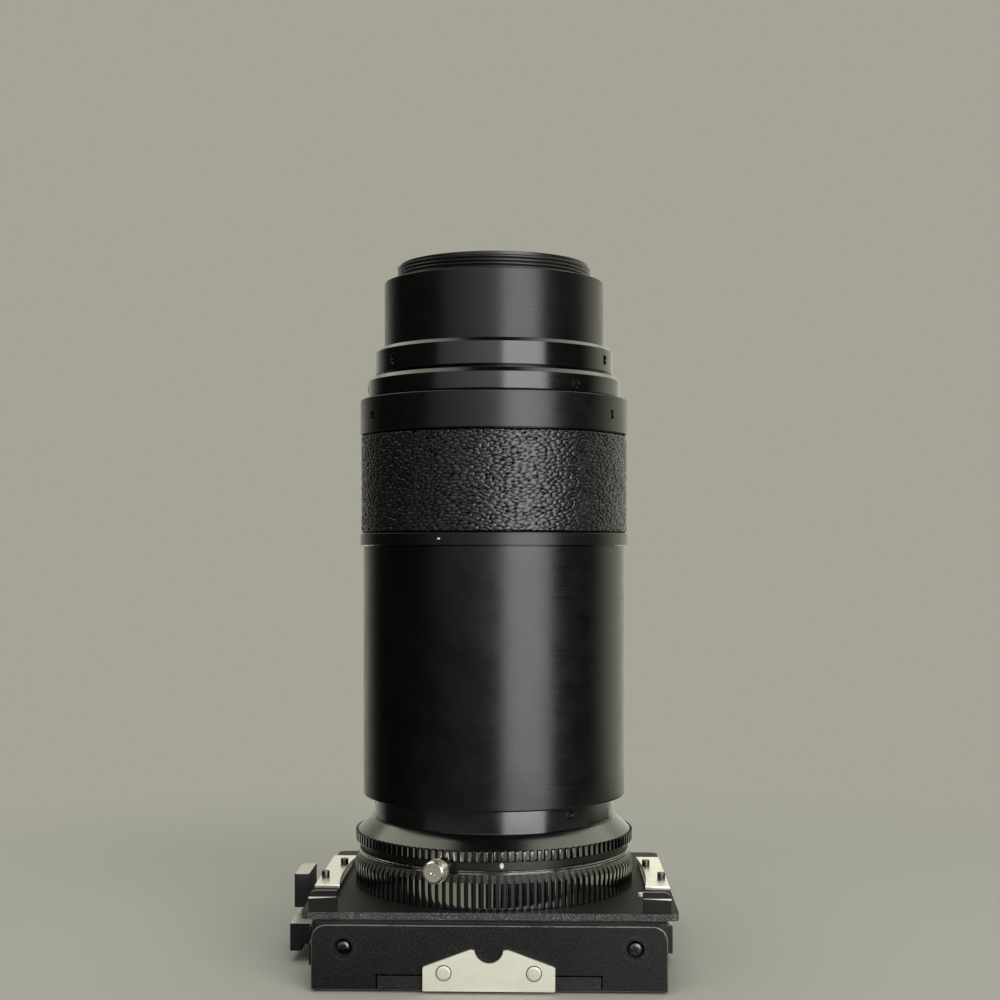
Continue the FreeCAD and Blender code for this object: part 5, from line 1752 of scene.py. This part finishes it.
# ---- studio and camera ----------------------------------------------------------------
@dataclass
class Studio:
    """Plain pale floor and ground under soft light."""

    ground: Colour = (0.375, 0.37, 0.31)
    paper: Colour = (0.58, 0.572, 0.49)
    dark: Colour = (0.012, 0.012, 0.0115)
    ambient: Colour = (0.16, 0.16, 0.155)
    floor_radius: float = 0.26
    flag_height: float = 0.0008

    def build(self) -> None:
        """Builds the floor, the flags, the world and the lamps."""
        self.floor()
        for name, start, end, near, reach in (
                ("front", -6.0, 52.0, 0.085, 0.165), ("left", -120.0, -62.0, 0.085, 0.2),
                ("right", 96.0, 140.0, 0.085, 0.2), ("near", -80.0, 22.0, 0.037, 0.082)):
            self.flag(f"studio_flag_{name}", start, end, near, reach)
        self.world()
        self.softbox("key_softbox", at_bearing(1.15, 30.0, -0.05), (0.84, 1.6), 19.0, True)
        self.softbox("fill_softbox", at_bearing(1.2, -22.0, 0.74), (1.25, 1.05), 3.0, False)
        top = self.softbox("top_softbox", (0.0, 0.1, 1.3), (1.2, 1.2), 7.0, False)
        top.rotation_euler = (0.0, 0.0, 0.0)

    def sheet(self, name: str, points: Sequence[Corner], faces: Sequence[Sequence[int]],
              finish: Finish) -> Thing:
        """Lays a flat sheet that belongs to the studio.

        Args:
            name: the sheet's name.
            points: its points, in metres.
            faces: point numbers of each face.
            finish: what it is made of.

        Returns:
            The sheet.
        """
        mesh = bpy.data.meshes.new(name)
        mesh.from_pydata(points, [], [tuple(face) for face in faces])
        mesh.materials.append(finish.make())
        thing = linked(name, mesh)
        return thing

    def floor(self) -> None:
        """A round paper floor that thins out into the ground at its rim."""
        r, steps = self.floor_radius, 96
        angles = [FULL_TURN * k / steps for k in range(steps)]
        rim = [(r * math.cos(a), r * math.sin(a), 0.0) for a in angles]
        self.sheet("studio_floor", rim, [range(steps)], StudioPaper("studio_paper", self.paper, r))

    def flag(self, name: str, start: float, end: float, inner: float, outer: float) -> None:
        """Lays a black card on the floor that only reflections see.

        Args:
            name: the card's name.
            start: its first bearing, in degrees.
            end: its last bearing, in degrees.
            inner: its inner radius, in metres.
            outer: its outer radius, in metres.
        """
        steps = 24
        points = [at_bearing(r, start + (end - start) * k / steps, self.flag_height) for r in (inner, outer)
                  for k in range(steps + 1)]
        faces = [(k, k + 1, steps + k + 2, steps + k + 1) for k in range(steps)]
        card = self.sheet(name, points, faces, Finishes.flag)
        card.visible_camera = card.visible_diffuse = card.visible_shadow = False

    def world(self) -> None:
        """Pale ground for the camera; in reflections a dim room with a glow behind the camera's sides."""
        world = bpy.data.worlds.new("studio_world")
        bpy.context.scene.world = world
        graph = emptied(world)
        outwards = graph.add("ShaderNodeTexCoord").outputs["Generated"]
        parts = graph.add("ShaderNodeSeparateXYZ", {"Vector": outwards}).outputs
        bearing = graph.math("ARCTAN2", parts["X"], graph.times(parts["Y"], -1.0))
        height = parts["Z"]
        below_zenith, upper = graph.between(height, 0.985, 0.93), graph.between(height, 0.4, 0.55)
        room = self.dark
        sides = []
        for side, wide, narrow, level in ((graph.times(bearing, -1.0), (2.1, 2.7), (1.3, 1.7), 1.7),
                                          (bearing, (1.6, 2.2), (1.0, 1.4), 2.4)):
            reach = graph.math("MAXIMUM", graph.between(side, *wide),
                               graph.times(graph.between(side, *narrow), upper))
            sides.append(graph.times(reach, below_zenith))
            room = graph.blend(sides[-1], room, scaled(self.ground, level))
        crown = graph.times(graph.math("MAXIMUM", *sides), upper)
        room = graph.blend(crown, room, scaled(self.ground, 4.4))
        wall = graph.times(graph.between(bearing, -0.97, -0.88), graph.between(bearing, 0.85, 0.75))
        wall = graph.times(wall, graph.between(height, 0.02, 0.08))
        wall = graph.times(wall, graph.between(height, 0.6, 0.45))
        glow = graph.between(bearing, -0.93, 0.16, 0.5, 1.7, "LINEAR")
        pale = graph.add("ShaderNodeCombineColor", {"Red": glow, "Green": glow, "Blue": glow})
        room = graph.blend(wall, room, pale.outputs["Color"])
        rays = graph.add("ShaderNodeLightPath").outputs
        seen = graph.math("MAXIMUM", rays["Is Camera Ray"], graph.math(
            "MAXIMUM", rays["Is Glossy Ray"], rays["Is Transmission Ray"]))
        colour = graph.blend(seen, self.ambient, graph.blend(rays["Is Camera Ray"], room, self.ground))
        lit = graph.add("ShaderNodeBackground", {"Color": colour, "Strength": 1.0})
        graph.add("ShaderNodeOutputWorld", {"Surface": lit.outputs[0]})

    def softbox(self, name: str, spot: Corner, size: tuple[float, float], power: float,
                glossy: bool) -> Thing:
        """Stands one upright softbox that faces the object.

        Args:
            name: the lamp's name.
            spot: its place, in metres.
            size: its width and height, in metres.
            power: its power, in watts.
            glossy: whether reflections show it.

        Returns:
            The lamp.
        """
        light = bpy.data.lights.new(name, "AREA")
        light.shape, light.energy = "RECTANGLE", power
        light.size, light.size_y = size
        lamp = linked(name, light)
        lamp.location = spot
        lamp.rotation_euler = Vector((*spot[:2], 0.0)).to_track_quat("Z", "Y").to_euler()
        lamp.visible_camera, lamp.visible_glossy = False, glossy
        return lamp


@dataclass
class ViewCamera:
    """Camera at the height of the zoom ring, a little right of the axis."""

    x: float = 0.010
    distance: float = 0.350
    height: float = 0.088
    pixels_focal: float = 1605.0
    axis_pixel: float = 494.0
    horizon_pixel: float = 545.0
    frame_pixels: float = 1000.0
    sensor: float = 36.0

    def build(self) -> None:
        """Creates the camera and makes it the scene's."""
        data = bpy.data.cameras.new("view_camera")
        data.sensor_fit = "HORIZONTAL"
        data.sensor_width = self.sensor
        data.lens = self.pixels_focal * self.sensor / self.frame_pixels
        data.shift_x = 0.5 - self.axis_pixel / self.frame_pixels
        data.shift_y = self.horizon_pixel / self.frame_pixels - 0.5
        data.clip_start = 0.01
        data.dof.use_dof = False
        camera = linked("view_camera", data)
        camera.location = (self.x, -self.distance, self.height)
        camera.rotation_euler = (math.radians(90), 0.0, math.atan2(self.x, self.distance))
        bpy.context.scene.camera = camera


def main() -> None:
    """Builds every sub-assembly on the frame, then the studio and the camera."""
    logging.basicConfig(level=logging.INFO, format="%(name)s: %(message)s")
    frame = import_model()
    arrays = Arrays()
    for section in (Stage, Head, Barrel, ZoomSection, CameraSection, Gate, Drawer, LensGroup):
        section(frame["nodes"], arrays).build()
        LOG.info("%s is built", section.__name__)
    Studio().build()
    ViewCamera().build()
    bpy.context.scene.view_settings.view_transform = "Standard"


if __name__ == "__main__":
    main()
